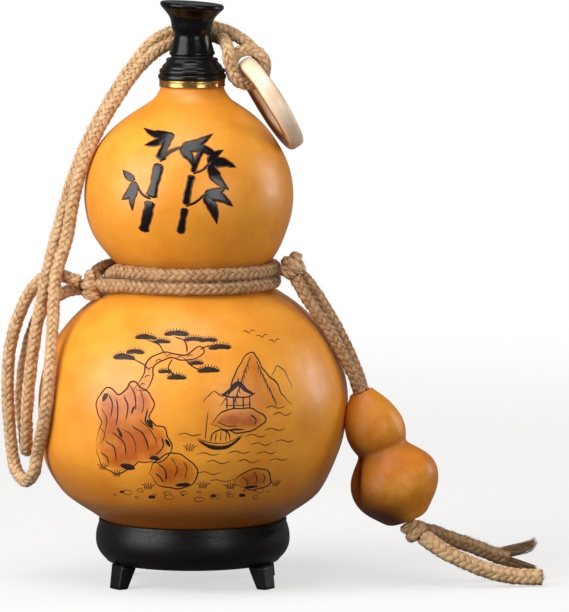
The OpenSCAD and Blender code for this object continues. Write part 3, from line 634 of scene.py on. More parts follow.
# Short strokes that model the hill
for k in range(9):
    draw([(27.6 - 0.9 * k, 28.5 - 2.3 * k), (26 - 0.9 * k, 25 - 2.3 * k), (26.4 - 0.9 * k, 22 - 2.3 * k)])
    draw([(30.4 + 1.0 * k, 26.5 - 2.1 * k), (31.4 + 1.1 * k, 23 - 2.1 * k), (31.2 + 1.2 * k, 20.5 - 2.1 * k)])
# Solid black shadows: under the cliff, in its clefts, beside the boulders
for x, y, dx, dy, width in (
    (-31, -24.5, 8, -1.5, 3.6), (-18, -20, 5, -1, 2.6), (-44, 8, 3, 4, 2.6), (-21, -3, 3, -4, 2.2), (-4, -33, 7, 0.5, 2.4),
    (29, -35.5, 8, 0.4, 1.8), (20, -6.2, 9, 0.3, 1.6), (-36, -8, 3, -5, 1.8), (-12, -12, 2.5, -4, 1.8), (-29, 3, 2, 4, 1.6),
):
    draw([(x - dx / 2, y - dy / 2), (x, y + 0.4), (x + dx / 2, y + dy / 2)], width, blotShape, 0.3)

# The pine's bark and boughs, and clumps of needles: a black blot with spikes round its upper side
for x, y in ((-25, 15), (-22.5, 19), (-20.5, 23), (-17, 27), (-12, 29.6), (-7, 28.8), (-2, 29.6)):
    draw([(x - 1, y - 0.8), (x + 0.4, y + 0.6), (x + 1.8, y + 0.2)])
for bough in ([(-21, 22), (-28, 27), (-34, 27)], [(-13, 30), (-17, 36), (-23, 38)], [(-5, 29), (0, 24), (6, 22)],
              [(-3, 31), (-4, 37), (-9, 40)], [(3, 33), (8, 35), (12, 33)], [(-10, 28), (-12, 23), (-8, 19)]):
    draw(bough, bold)
for x, y, reach in ((-34, 27.4, 6.0), (-28, 30.5, 4.8), (-23, 38.5, 5.6), (-15, 36.5, 4.4), (-8, 41, 6.0), (0, 38, 4.8), (12.5, 33.4, 5.6),
                    (7, 37.4, 4.4), (7, 21.8, 5.4), (1, 25.5, 3.8), (-8, 18.4, 4.8), (-13.5, 21.2, 3.4)):
    draw([(x - reach, y - 0.2), (x - 0.1 * reach, y + 0.16 * reach), (x + reach, y)], 0.58 * reach, blotShape, 0)
    for j in range(11):
        a = np.radians(6 + 16.8 * j)
        draw([(x + 0.66 * reach * np.cos(a), y + 0.1 * reach), (x + 0.85 * reach * np.cos(a), y + 0.42 * reach * np.sin(a) + 0.3),
              (x + 1.05 * reach * np.cos(a), y + 0.62 * reach * np.sin(a) + 0.4)], 0.62, lineShape, 0)

# The pavilion on the islet: an upturned roof, posts and a rail
draw([(13, 10.4), (17, 12.4), (21, 15.6), (25, 12.2), (29, 10.2)], 2.6, blotShape, 0)
draw([(12, 11.4), (15, 9.8), (21, 9.2), (27, 9.6), (30, 11.2)], bold, lineShape, 0.1)
for x in (15.4, 18.6, 23.4, 26.6):
    draw([(x, 9.4), (x + 0.1, 6.5), (x, 3.6)], bold, lineShape, 0.08)
draw([(14.6, 5.6), (21, 5.4), (27.4, 5.6)], fine, lineShape, 0.1)
draw([(21, 15), (21.1, 17), (21, 18.6)], bold, blotShape, 0)

# The boat: hull, arched cover and a bare mast
draw([(2, -10.5), (8, -13.8), (16, -14), (23, -9.4)], 2.2, blotShape, 0)
draw([(1, -9.6), (8, -11.8), (16, -12), (24, -8.4)], fine, lineShape, 0.1)
draw([(8, -11.6), (9.4, -7.2), (13, -5.8), (16.4, -7.4), (17.4, -11.4)], bold, lineShape, 0.1)
for x in (10.4, 12.8, 15.2):
    draw([(x, -11.4), (x + 0.1, -9), (x + 0.2, -6.9)], fine, lineShape, 0.08)
draw([(5.4, -11), (5.9, -3), (6.6, 3)], fine, lineShape, 0.1)

# Lake ripples, grass, pebbles and three birds
for k, (x, y) in enumerate(((-2, -8), (30, -9.5), (40, -7), (33, -13.5), (7, -17.5), (22, -17), (36, -18), (12, -21.5), (27, -21.5),
                            (43, -22), (8, -27), (14, -31), (44, 0), (40, 3.4), (46, -13))):
    draw([(x - 5.5, y), (x - 2, y + 0.8), (x + 2, y - 0.6), (x + 6, y + 0.4)], fine, lineShape, 0.22)
for x, y in ((-46, -27), (-38, -30), (-22, -36), (4, -35), (17, -36), (41, -36), (-3, -16)):
    for j in range(5):
        draw([(x + 0.7 * j, y), (x + 1.0 * j - 0.4, y + 2.2), (x + 1.8 * j - 2, y + 4 - 0.5 * (j - 2) ** 2 * 0.6)], fine, lineShape, 0)
for k in range(22):
    x, y, r = -38 + 3.6 * k + 1.6 * np.sin(3 * k), -38.5 - 1.8 * np.cos(2.3 * k) - 1.1 * (k % 2), 0.8 + 0.5 * (k % 3)
    a = np.linspace(0, 2 * np.pi, 9)
    if k % 4 == 1:
        draw([(x - r, y), (x, y + 0.2), (x + r, y)], 1.4 * r, blotShape, 0)
    else:
        draw(np.stack([x + 1.3 * r * np.cos(a), y + 0.75 * r * np.sin(a)], -1), 0.6, lineShape, 0)
for x, y in ((34, 38), (27, 41), (41, 35)):
    draw([(x - 3.4, y + 1.2), (x - 1.4, y + 1.5), (x, y), (x + 1.6, y + 1.7), (x + 3.6, y + 1)], 0.8, lineShape, 0)

scaledBamboo = [(np.array(p) * 1.1, w * 1.42, shape, seed) for p, w, shape, seed in bamboo]
bambooHalo = burntStrokes("bambooScorch", scaledBamboo, upperArt, 0.05, 1.1)
bambooStrokes = burntStrokes("bambooStrokes", scaledBamboo, upperArt, 0.12)
landscapeLines = burntStrokes("landscapeLines", landscape, lowerArt, 0.08)
print("drawings burnt")

stand = {
    "radius": 46.2, "low": 11.0, "top": 31.3, "hole": 33.0, "seat": 43.8, "seatIn": 36.5,
    "legTop": (10.6, 8.6, 38.4),     # width, depth and distance out of a leg's top
    "legFoot": (9.0, 5.4, 41.6),
}


def makeStand():
    z = np.linspace(0, 1, 15)[1:-1]
    low, top = stand["low"], stand["top"] - 0.6
    side = stand["radius"] - 2.2 * np.clip((z - 0.55) / 0.45, 0, 1) ** 2 - 6.0 * np.clip((0.55 - z) / 0.55, 0, 1) ** 2.4
    edge = side[0] - 0.9
    r = np.linspace(stand["seat"], stand["seatIn"], 10)
    seatZ = gourd["lowerZ"] - gourd["lowerDrop"] * np.sqrt(1 - (r / gourd["lowerRadius"]) ** 2) - 0.3
    profile = [(stand["hole"], low + 0.8), (stand["hole"] + 0.8, low), (edge - 0.8, low), (edge, low + 0.3)]
    profile += list(zip(side, low + (top - low) * z)) + [(side[-1] + 0.1, top), (stand["seat"] + 0.5, stand["top"] + 0.1)]
    profile += list(zip(r, seatZ)) + [(stand["hole"] + 0.6, seatZ[-1] - 3), (stand["hole"], seatZ[-1] - 4), (stand["hole"], low + 0.8)]
    piece = turned("standRing", profile, 160)
    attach(piece, "stand")
    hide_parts("stand_ring")
    return piece


# A leg is a rounded square that narrows and leans out towards its foot
def makeLeg(name, node, heading):
    z = np.array([0.0, 0.0, 0.35, 1.5, 4, 7, 9.5, 11.4, 11.4])
    shrink = np.array([0.0, 0.92, 1, 1, 1, 1, 1, 1, 0.0])
    t = np.clip(z / 11.0, 0, 1)[:, None]
    wide, shadedTone, out = ((1 - t) * a + t * b for a, b in zip(stand["legFoot"], stand["legTop"]))
    a = np.arange(40) * 2 * np.pi / 40
    box = [np.sign(f) * np.abs(f) ** 0.28 for f in (np.cos(a), np.sin(a))]
    x = out + shadedTone / 2 * box[0] * shrink[:, None]
    y = wide / 2 * box[1] * shrink[:, None]
    c, s = np.cos(np.radians(heading)), np.sin(np.radians(heading))
    piece = makePiece(name, np.stack([x * c - y * s, x * s + y * c, z[:, None] + 0 * x], -1), gridQuads(len(z), len(a)))
    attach(piece, "stand")
    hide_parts(node)
    return piece


standPieces = [makeStand()] + [makeLeg(name, node, heading) for name, node, heading in (
    ("legFrontLeft", "leg_front_left", 213), ("legFrontRight", "leg_front_right", 327),
    ("legBackLeft", "leg_back_left", 147), ("legBackRight", "leg_back_right", 33))]
print("stand made")

# Profiles as (radius, height over the piece's foot), in mm
ferruleProfile = [(9.0, 0), (15.1, 0), (15.5, 0.12), (15.65, 0.4), (15.6, 0.7), (15.58, 1.2), (15.58, 2.3), (15.62, 2.8), (15.68, 3.1), (15.5, 3.4), (15.2, 3.5), (9.0, 3.5)]
collarCurve = [(15.7, 0.05), (16.1, 0.5), (16.15, 1.2), (15.9, 2.2), (15.3, 2.7)]
collarBead = [(15.05, 2.8), (15.45, 3.1), (15.6, 3.7), (15.4, 4.5), (14.9, 5.0), (14.5, 5.2)]
collarCove = [(14.3, 5.35), (14.2, 6.1), (13.4, 7.0), (12.6, 7.8), (12.1, 8.5)]
collarLip = [(12.2, 8.7), (12.35, 9.1), (12.1, 9.7), (11.6, 10.0), (11.2, 10.0)]
stopperCurve = [
    (10.3, 0), (10.75, 0.35), (10.8, 1.0), (10.4, 2.2), (9.8, 4.2), (9.15, 6.6), (8.65, 8.6), (8.6, 9.6), (8.9, 10.9),
    (9.5, 12.5), (9.85, 14.3), (10.15, 16.2), (10.9, 18.0), (12.2, 19.7), (13.6, 21.2), (14.7, 22.4), (15.1, 23.3), (14.95, 24.2), (14.3, 24.7),
]
stopperTop = [(14.3, 24.7), (13.2, 24.8), (11.5, 24.6), (8.0, 24.3), (4.0, 24.2), (0.0, 24.2)]
stopper = {"foot": 251.8, "rimTilt": 3.9}


def lifted(profile, z):
    return [(r, h + z) for r, h in profile]


# The rim of the stopper is tilted: it drops to the right, more and more from the waist up
def tiltRim(points):
    weight = soften(points[..., 2], stopper["foot"] + 11, stopper["foot"] + 24)
    points[..., 2] -= np.tan(np.radians(stopper["rimTilt"])) * points[..., 0] * weight
    return points


brassFerrule = turned("brassFerrule", lifted(ferruleProfile + ferruleProfile[:1], gourd["neckTop"]))
collarFoot = gourd["neckTop"] + 3.5
collarProfile = [(9.0, 0)] + [tuple(p) for part in (collarCurve, collarBead, collarCove, collarLip) for p in smoothLine(part, 0.3)] + [(9.0, 10.0), (9.0, 0)]
mouthCollar = turned("mouthCollar", lifted(collarProfile, collarFoot))
stopperProfile = [(0, 0)] + [tuple(p) for p in smoothLine(stopperCurve, 0.45)] + [tuple(p) for p in smoothLine(stopperTop, 0.6)[1:]]
stopperHead = turned("stopperHead", lifted(stopperProfile, stopper["foot"]), bend=tiltRim)
for piece, body, node in ((brassFerrule, "bottle", "brass_ferrule"), (mouthCollar, "bottle", "mouth_collar"), (stopperHead, "stopper", "stopper_head")):
    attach(piece, body)
    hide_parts(node)
print("mouth and stopper made")


# The band's section is a soft square, carried round the ring
def makeRing():
    around, across = 160, 40
    a = np.arange(around)[:, None] * 2 * np.pi / around
    b = np.arange(across) * 2 * np.pi / across
    squared = [np.sign(f) * np.abs(f) ** 0.62 for f in (np.cos(b), np.sin(b))]
    wobble = 1 + 0.025 * np.sin(2 * a + 1) + 0.015 * np.sin(5 * a)
    out = ring["radius"] + ring["band"] / 2 * squared[0] * wobble
    points = ringFrame(ring["radius"] - out * np.cos(a), out * np.sin(a), ring["depth"] / 2 * squared[1] * (2 - wobble) + 0 * a)
    quads = gridQuads(around + 1, across) % (around * across)
    # the band's flat faces, most towards the hole, where the material paints shade
    flankShade = soften(np.abs(squared[1]) - 0.25 * squared[0], 0.55, 1.05) + 0 * a
    return makePiece("boneRing", points, quads, values={"flankShade": flankShade.ravel()})


boneRing = makeRing()
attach(boneRing, "toggle_ring")
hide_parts("toggle_ring")

charm = {
    "top": (80.2, -12.0, 92.6), "height": 64.5, "lean": 19.6,
    "lowerRadius": 20.6, "upperRadius": 13.8, "neckRadius": 5.6, "bore": 2.75, "columns": 128,
}


# Height is measured from the charm's foot; its sides are lumpy, with a cleft low on the left,
# and painted shade darkens the skin towards the foot, on the left, round the waist and in the hollows
def makeCharm():
    c = charm
    h = c["height"]
    lowZ, highZ = 0.287 * h, 0.705 * h
    z = np.r_[lowZ * (1 - np.cos(np.radians(np.arange(0, 90, 4)))), np.linspace(lowZ, h, 70)]
    shoulder = domeRadius(z, highZ, c["upperRadius"], 0.264 * h, 0.31 * h, -0.25 * (z > highZ))
    r = mergeRadii(domeRadius(z, lowZ, c["lowerRadius"], lowZ, lowZ), shoulder, domeRadius(z, h, c["neckRadius"], h - highZ, 1.0))
    r[0] = c["bore"]
    z -= 1.9 * np.exp(-(((r - 9) / 4) ** 2)) * (z < lowZ / 2)  # the foot is drawn in round the cord
    profile = np.vstack([np.stack([r, z], -1), [(r[-1] - 0.7, h + 0.3), (c["bore"], h), (c["bore"], z[0])]])
    a = np.arange(c["columns"]) * 2 * np.pi / c["columns"]
    r, z = profile[:, 0, None], profile[:, 1, None]
    skin = soften(r, c["bore"] + 0.5, c["bore"] + 6)
    lumps = 0.022 * np.sin(2 * a + 0.4 + z / 25) + 0.016 * np.sin(3 * a + z / 13) + 0.01 * np.sin(5 * a - z / 9)
    dents = 0.16 * np.exp(-(((a - 3.62) / 0.2) ** 2) - ((z - 27) / 9) ** 2) + 0.04 * np.exp(-(((a - 0.4) / 0.5) ** 2) - ((z - 37) / 5) ** 2)
    right = np.angle(np.exp(1j * (a + 0.2)))
    bump = 0.012 * np.exp(-((right / 0.9) ** 2) - ((z - 45) / 8) ** 2) + 0.04 * np.exp(-((right / 0.8) ** 2) - ((z - 22) / 9) ** 2)
    r = r * (1 + skin * (lumps + bump - dents))
    x, y, z = r * np.cos(a), r * np.sin(a), z - h + 0 * a
    lean = np.radians(-c["lean"])
    points = np.stack([x * np.cos(lean) + z * np.sin(lean), y, z * np.cos(lean) - x * np.sin(lean)], -1) + c["top"]
    up = profile[:, 1, None]
    # painted shade: darker on the left, towards the foot, round the waist and in the dents
    left = soften(-np.cos(a - 0.45), 0.1, 1.0) * (1 - 0.6 * soften(up, 40, 58))
    shade = 4.2 * dents + 0.25 * np.exp(-(((up - 36) / 4) ** 2)) + 0.5 * left + (0.1 + 0.75 * left) * (1 - soften(up, 0, 27))
    return makePiece("charmGourd", points, gridQuads(len(profile), c["columns"]), values={"wash": 0 * shade.ravel(), "shade": shade.ravel()})


charmGourd = makeCharm()
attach(charmGourd, "charm")
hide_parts("charm_gourd")
print("ring and charm made")


# A knot is a short coil of the same cord whose two ends are tucked into its middle
def tieKnot(name, node, centre, axis, turns, radius, pitch, diameter, seed):
    t = np.linspace(0, 1, 90)
    reach = radius * (0.15 + 0.85 * soften(t, 0, 0.16) * (1 - soften(t, 0.84, 1)))
    a = 2 * np.pi * turns * t
    axis = np.array(axis, float) / np.linalg.norm(axis)
    side = np.cross(axis, [0.2, 1, 0.1])
    side /= np.linalg.norm(side)
    third = np.cross(axis, side)
    rise = pitch * turns * (t - 0.5)
    path = np.array(centre) + reach[:, None] * (np.cos(a)[:, None] * side + np.sin(a)[:, None] * third) + rise[:, None] * axis
    path = evenPoints(path, cordLook["step"])
    piece = braidedCord(name, path, diameter, seed)
    loose = strayFibres(name + "Fuzz", path, diameter, 6, seed + 100)
    for p in (piece, loose):
        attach(p, "bottle")
        lateJute.append(p)
    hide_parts(node)
    return piece


tieKnot("knotLeft", "knot_left", (-47.4, -8.4, 143.1), (0.3, -0.2, 1), 2.2, 3.4, 4.7, 5.8, 21)
tieKnot("knotRight", "knot_right", (47.4, -8.4, 152.1), (0.75, 0.1, 0.65), 2.2, 3.5, 4.6, 5.8, 22)
tieKnot("charmKnot", "charm_knot", (105.7, -12, 26.1), (0.5, 0.1, -0.86), 2.2, 3.2, 4.6, 5.6, 23)

layCord("charmCore", [(80.3, -12, 92.2), (91, -12, 62.2), (101.7, -12, 32.2)], 4.6, 24, "bottle", ["charm_core_cord"], fuzz=0, stiffness="limp", lay="taut", far_end="object")


# Fibres of an unravelled cord: each follows the bunch's curve from a root near its start
def makeBunch(name, route, count, radius, spread, seed, thickness=(0.22, 0.42)):
    random = np.random.default_rng(seed)
    p0, p1, p2 = (np.array(route[k], float) for k in (0, len(route) // 2, -1))
    p1 = 2 * p1 - (p0 + p2) / 2
    along = (p2 - p0) / np.linalg.norm(p2 - p0)
    scatter = random.normal(0, 1, (count, 3))
    scatter -= (scatter @ along)[:, None] * along
    scatter *= np.minimum(1, 1.6 / np.linalg.norm(scatter, axis=1))[:, None]
    late = random.uniform(0, 0.35, count)[:, None]
    root = p0 + (p1 - p0) * late + scatter * radius * 0.6
    tip = p2 + (p2 - p1) * random.uniform(-0.5, 0.12, count)[:, None] + scatter * spread * 0.5 + random.normal(0, 0.35, (count, 3))
    bend = p1 + scatter * radius * 0.8 + random.normal(0, 0.3, (count, 3))
    return fibres(name, root, 2 * (bend - root), root - 2 * bend + tip, random.uniform(*thickness, count), random.uniform(0, 1, count))


frayUpper = makeBunch("frayUpper", [(144.6, 1.8, 13.6)] + upperFrayRoute[1:], 190, 2.5, 2.4, 31)
frayLower = makeBunch("frayLower", [(144.6, 1.4, 11.8)] + lowerFrayRoute[1:], 190, 2.5, 2.3, 32)
tailBrush = makeBunch("tailBrush", [(160, -15.6, 4.2), (163.4, -15.2, 4.1), (166.6, -14.8, 4)], 150, 2.9, 2.9, 33)
for piece in (frayUpper, frayLower, tailBrush):
    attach(piece, "bottle")
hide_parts("frayed_end_upper")
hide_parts("frayed_end_lower")
layCord("tailPlain", plainTailRoute, 8.4, 8, "bottle", ["tail_plain"], fuzz=6, stiffness="limp", lay="loose", far_end="bare", with_pieces=[tailBrush])
layCord("tailFrayed", frayedTailRoute, 8.0, 9, "bottle", ["tail_frayed"], fuzz=8, stiffness="limp", lay="loose", far_end="bare", with_pieces=[frayUpper, frayLower])
print("knots and frayed ends made")


# An sRGB hex colour as linear red, green, blue and alpha
def linear(code):
    c = np.array([int(code[k:k + 2], 16) for k in (1, 3, 5)]) / 255
    return (*np.where(c <= 0.04045, c / 12.92, ((c + 0.055) / 1.055) ** 2.4), 1.0)


# Adds a node: settings are its own properties, links its inputs, each a fixed value or a socket
def addNode(tree, kind, settings=None, links=None):
    node = tree.nodes.new(kind)
    for key, value in (settings or {}).items():
        setattr(node, key, value)
    for key, value in (links or {}).items():
        if isinstance(value, bpy.types.NodeSocket):
            tree.links.new(value, node.inputs[key])
        else:
            node.inputs[key].default_value = value
    return node


# A colour or value ramp through (place, hex or number) stops
def setRamp(node, stops):
    ramp = node.color_ramp
    while len(ramp.elements) < len(stops):
        ramp.elements.new(1.0)
    for element, (place, value) in zip(ramp.elements, stops):
        element.position = place
        element.color = linear(value) if isinstance(value, str) else (value, value, value, 1.0)
    return node.outputs["Color"]


# An empty material with its Principled shader, whose fixed numbers are given by name
def newMaterial(name, fixed):
    material = bpy.data.materials.new(name)
    material.use_nodes = True
    tree = material.node_tree
    tree.nodes.clear()
    shader = addNode(tree, "ShaderNodeBsdfPrincipled", links=fixed)
    addNode(tree, "ShaderNodeOutputMaterial", links={"Surface": shader.outputs["BSDF"]})
    return material, tree, shader


def mixColours(tree, factor, first, second, blend="MIX"):
    node = addNode(tree, "ShaderNodeMix", {"data_type": "RGBA", "blend_type": blend, "clamp_factor": True}, {0: factor})
    for index, value in ((6, first), (7, second)):
        if isinstance(value, str):
            node.inputs[index].default_value = linear(value)
        else:
            tree.links.new(value, node.inputs[index])
    return node.outputs[2]


def calculate(tree, operation, a, b=0.5, clamp=False):
    return addNode(tree, "ShaderNodeMath", {"operation": operation, "use_clamp": clamp}, {0: a, 1: b}).outputs[0]


# Noise over the object, whose grains are size mm across
def grains(tree, size, detail=3.0, stretch=None, roughness=0.55, source="Object"):
    place = addNode(tree, "ShaderNodeTexCoord").outputs[source]
    if stretch:
        place = addNode(tree, "ShaderNodeMapping", links={"Vector": place, "Scale": stretch}).outputs[0]
    return addNode(tree, "ShaderNodeTexNoise", links={"Vector": place, "Scale": 1 / (size * mm), "Detail": detail, "Roughness": roughness}).outputs[0]


def bumpFrom(tree, shader, height, strength, distance):
    bump = addNode(tree, "ShaderNodeBump", links={"Height": height, "Strength": strength, "Distance": distance * mm})
    tree.links.new(bump.outputs[0], shader.inputs["Normal"])


# Waxed bottle gourd: the hard skin is sealed with wax, so it is smooth and softly glossy, with
# a mottle of cloudy lighter and rusty patches and a few fine pits under the wax; its shade
# attribute mixes in a darker tone as painted shade
def gourdMaterial(name, look):
    material, tree, shader = newMaterial(name, {"IOR": 1.46, "Specular IOR Level": look["specular"], "Coat Weight": look["coat"], "Coat Roughness": 0.45})
    wash = addNode(tree, "ShaderNodeAttribute", {"attribute_name": "wash"}).outputs["Fac"]
    shade = addNode(tree, "ShaderNodeAttribute", {"attribute_name": "shade"}).outputs["Fac"]
    cloudy = setRamp(addNode(tree, "ShaderNodeValToRGB", links={"Fac": grains(tree, 22, 4)}), [(0.32, look["dark"]), (0.52, look["middle"]), (0.7, look["pale"])])
    mottled = mixColours(tree, calculate(tree, "MULTIPLY", setRamp(addNode(tree, "ShaderNodeValToRGB", links={"Fac": grains(tree, 2.6, 5, roughness=0.7)}), [(0.5, 0.0), (0.75, 1.0)]), look["fleck"]), cloudy, look["rust"])
    washed = mixColours(tree, calculate(tree, "MULTIPLY", wash, calculate(tree, "ADD", grains(tree, 5, 3), 0.25), True), mottled, look["amber"])
    # painted shade: the shade attribute mixes in the shaded tone
    shadedTone = mixColours(tree, calculate(tree, "MULTIPLY", shade, 0.9, True), washed, look["shadedTone"])
    specks = setRamp(addNode(tree, "ShaderNodeValToRGB", links={"Fac": grains(tree, 0.7, 1)}), [(0.7, 0.0), (0.78, 1.0)])
    coloured = mixColours(tree, calculate(tree, "MULTIPLY", specks, 0.35), shadedTone, look["speck"])
    tree.links.new(coloured, shader.inputs["Base Color"])
    tree.links.new(setRamp(addNode(tree, "ShaderNodeValToRGB", links={"Fac": grains(tree, 6, 4)}), [(0.3, look["rough"] - 0.06), (0.7, look["rough"] + 0.1)]), shader.inputs["Roughness"])
    height = calculate(tree, "ADD", calculate(tree, "MULTIPLY", grains(tree, 4, 3), 1.0), calculate(tree, "MULTIPLY", specks, -0.15))
    bumpFrom(tree, shader, height, 0.35, look["bump"])
    return material


gourdWax = gourdMaterial("waxed gourd skin", {
    "pale": "#F6A634", "middle": "#F09C2C", "dark": "#E68E20", "rust": "#CE761A", "amber": "#B8580C", "shadedTone": "#863200",
    "speck": "#9E5A1C", "fleck": 0.22, "rough": 0.35, "specular": 0.5, "coat": 0.15, "bump": 0.05,
})
charmSkin = gourdMaterial("raw gourd skin", {
    "pale": "#EDA13A", "middle": "#DD8A22", "dark": "#C87016", "rust": "#AC5A10", "amber": "#B9520F", "shadedTone": "#562004",
    "speck": "#5E2E0C", "fleck": 0.35, "rough": 0.42, "specular": 0.42, "coat": 0.0, "bump": 0.2,
})


# Burnt line: skin charred by a hot iron, dry and nearly black, a little glossy where it is broad
def burntMaterial(name, pale, dark, rough):
    material, tree, shader = newMaterial(name, {"IOR": 1.5, "Specular IOR Level": 0.4})
    tone = setRamp(addNode(tree, "ShaderNodeValToRGB", links={"Fac": grains(tree, 3.2, 4)}), [(0.35, dark), (0.68, pale)])
    tree.links.new(tone, shader.inputs["Base Color"])
    tree.links.new(setRamp(addNode(tree, "ShaderNodeValToRGB", links={"Fac": grains(tree, 2.0, 3)}), [(0.35, rough), (0.7, rough + 0.14)]), shader.inputs["Roughness"])
    bumpFrom(tree, shader, grains(tree, 1.6, 3), 0.4, 0.1)
    return material


charBlack = burntMaterial("charred gourd skin", "#100806", "#060303", 0.12)
scorchBrown = burntMaterial("scorched gourd skin", "#A4581A", "#7A3A0C", 0.42)
charBrown = burntMaterial("burnt line", "#2C1206", "#0E0603", 0.4)


# Stained rosewood under satin lacquer: near black, grain drawn out along the wood, soft sheen
def woodMaterial(name, look):
    material, tree, shader = newMaterial(name, {"IOR": 1.5, "Specular IOR Level": look["specular"], "Coat Weight": look["coat"], "Coat Roughness": look["coatRough"]})
    streak = grains(tree, look["grain"], 5, look["stretch"], 0.65)
    tree.links.new(setRamp(addNode(tree, "ShaderNodeValToRGB", links={"Fac": streak}), [(0.3, look["dark"]), (0.55, look["middle"]), (0.75, look["pale"])]), shader.inputs["Base Color"])
    pores = grains(tree, look["grain"] * 0.35, 2, look["stretch"], 0.6)
    tree.links.new(setRamp(addNode(tree, "ShaderNodeValToRGB", links={"Fac": pores}), [(0.3, look["rough"]), (0.75, look["rough"] + 0.18)]), shader.inputs["Roughness"])
    bumpFrom(tree, shader, calculate(tree, "ADD", calculate(tree, "MULTIPLY", streak, 0.7), calculate(tree, "MULTIPLY", pores, 0.5)), 0.4, look["bump"])
    return material


standWood = woodMaterial("stained hardwood", {
    "dark": "#030202", "middle": "#090606", "pale": "#170E0C", "grain": 2.0, "stretch": (0.12, 1.0, 1.0),
    "rough": 0.32, "specular": 0.24, "coat": 0.0, "coatRough": 0.24, "bump": 0.06,
})
blackLacquer = woodMaterial("black lacquered wood", {
    "dark": "#010101", "middle": "#030303", "pale": "#080606", "grain": 2.4, "stretch": (1.0, 1.0, 0.12),
    "rough": 0.16, "specular": 0.24, "coat": 0.0, "coatRough": 0.05, "bump": 0.01,
})
collarLacquer = woodMaterial("lacquered mouth rim", {
    "dark": "#020202", "middle": "#060505", "pale": "#0E0A09", "grain": 1.6, "stretch": (1.0, 1.0, 0.2),
    "rough": 0.18, "specular": 0.32, "coat": 0.0, "coatRough": 0.14, "bump": 0.006,
})
pegWood = woodMaterial("turned birch", {
    "dark": "#B4854F", "middle": "#CBA06A", "pale": "#DDB985", "grain": 1.2, "stretch": (1.0, 1.0, 0.1),
    "rough": 0.5, "specular": 0.5, "coat": 0.0, "coatRough": 0.3, "bump": 0.1,
})


# Rolled brass: warm yellow metal, dulled by touch, with fine turned lines round it
def brassMaterial():
    material, tree, shader = newMaterial("turned brass", {"Metallic": 1.0})
    tarnish = setRamp(addNode(tree, "ShaderNodeValToRGB", links={"Fac": grains(tree, 3, 4)}), [(0.3, "#9A7440"), (0.6, "#CBA466"), (0.8, "#DDC28A")])
    tree.links.new(tarnish, shader.inputs["Base Color"])
    tree.links.new(setRamp(addNode(tree, "ShaderNodeValToRGB", links={"Fac": grains(tree, 2, 3)}), [(0.3, 0.14), (0.75, 0.3)]), shader.inputs["Roughness"])
    bumpFrom(tree, shader, grains(tree, 0.9, 1, (0.06, 0.06, 1.6)), 0.25, 0.05)
    return material


brass = brassMaterial()


# Polished bone: creamy crown, dark pores and a random mottle; painted shade with the gourd's reflected orange turns its
# flanks and inner side honey brown
def boneMaterial():
    material, tree, shader = newMaterial("polished bone", {"IOR": 1.54, "Coat Weight": 0.2, "Coat Roughness": 0.18, "Subsurface Weight": 0.12, "Subsurface Scale": 0.002, "Subsurface Radius": (1.0, 0.5, 0.3)})
    flankShade = addNode(tree, "ShaderNodeAttribute", {"attribute_name": "flankShade"}).outputs["Fac"]
    # painted shade on the flanks, plus a random mottle
    edge = calculate(tree, "ADD", flankShade, calculate(tree, "MULTIPLY", calculate(tree, "SUBTRACT", grains(tree, 9, 4), 0.42), 0.8), True)
    tone = setRamp(addNode(tree, "ShaderNodeValToRGB", links={"Fac": edge}), [(0.0, "#F3DEC2"), (0.30, "#E6C6A2"), (0.55, "#CF9A6A"), (0.8, "#A86A38"), (1.0, "#83481E")])
    pores = setRamp(addNode(tree, "ShaderNodeValToRGB", links={"Fac": grains(tree, 0.9, 2, (1.0, 0.35, 1.0))}), [(0.64, 0.0), (0.74, 1.0)])
    tree.links.new(mixColours(tree, calculate(tree, "MULTIPLY", pores, 0.4), tone, "#8A532C"), shader.inputs["Base Color"])
    tree.links.new(setRamp(addNode(tree, "ShaderNodeValToRGB", links={"Fac": grains(tree, 3, 3)}), [(0.3, 0.24), (0.7, 0.4)]), shader.inputs["Roughness"])
    bumpFrom(tree, shader, calculate(tree, "SUBTRACT", calculate(tree, "MULTIPLY", grains(tree, 6, 3), 1.2), calculate(tree, "MULTIPLY", pores, 0.4)), 0.35, 0.2)
    return material


bone = boneMaterial()


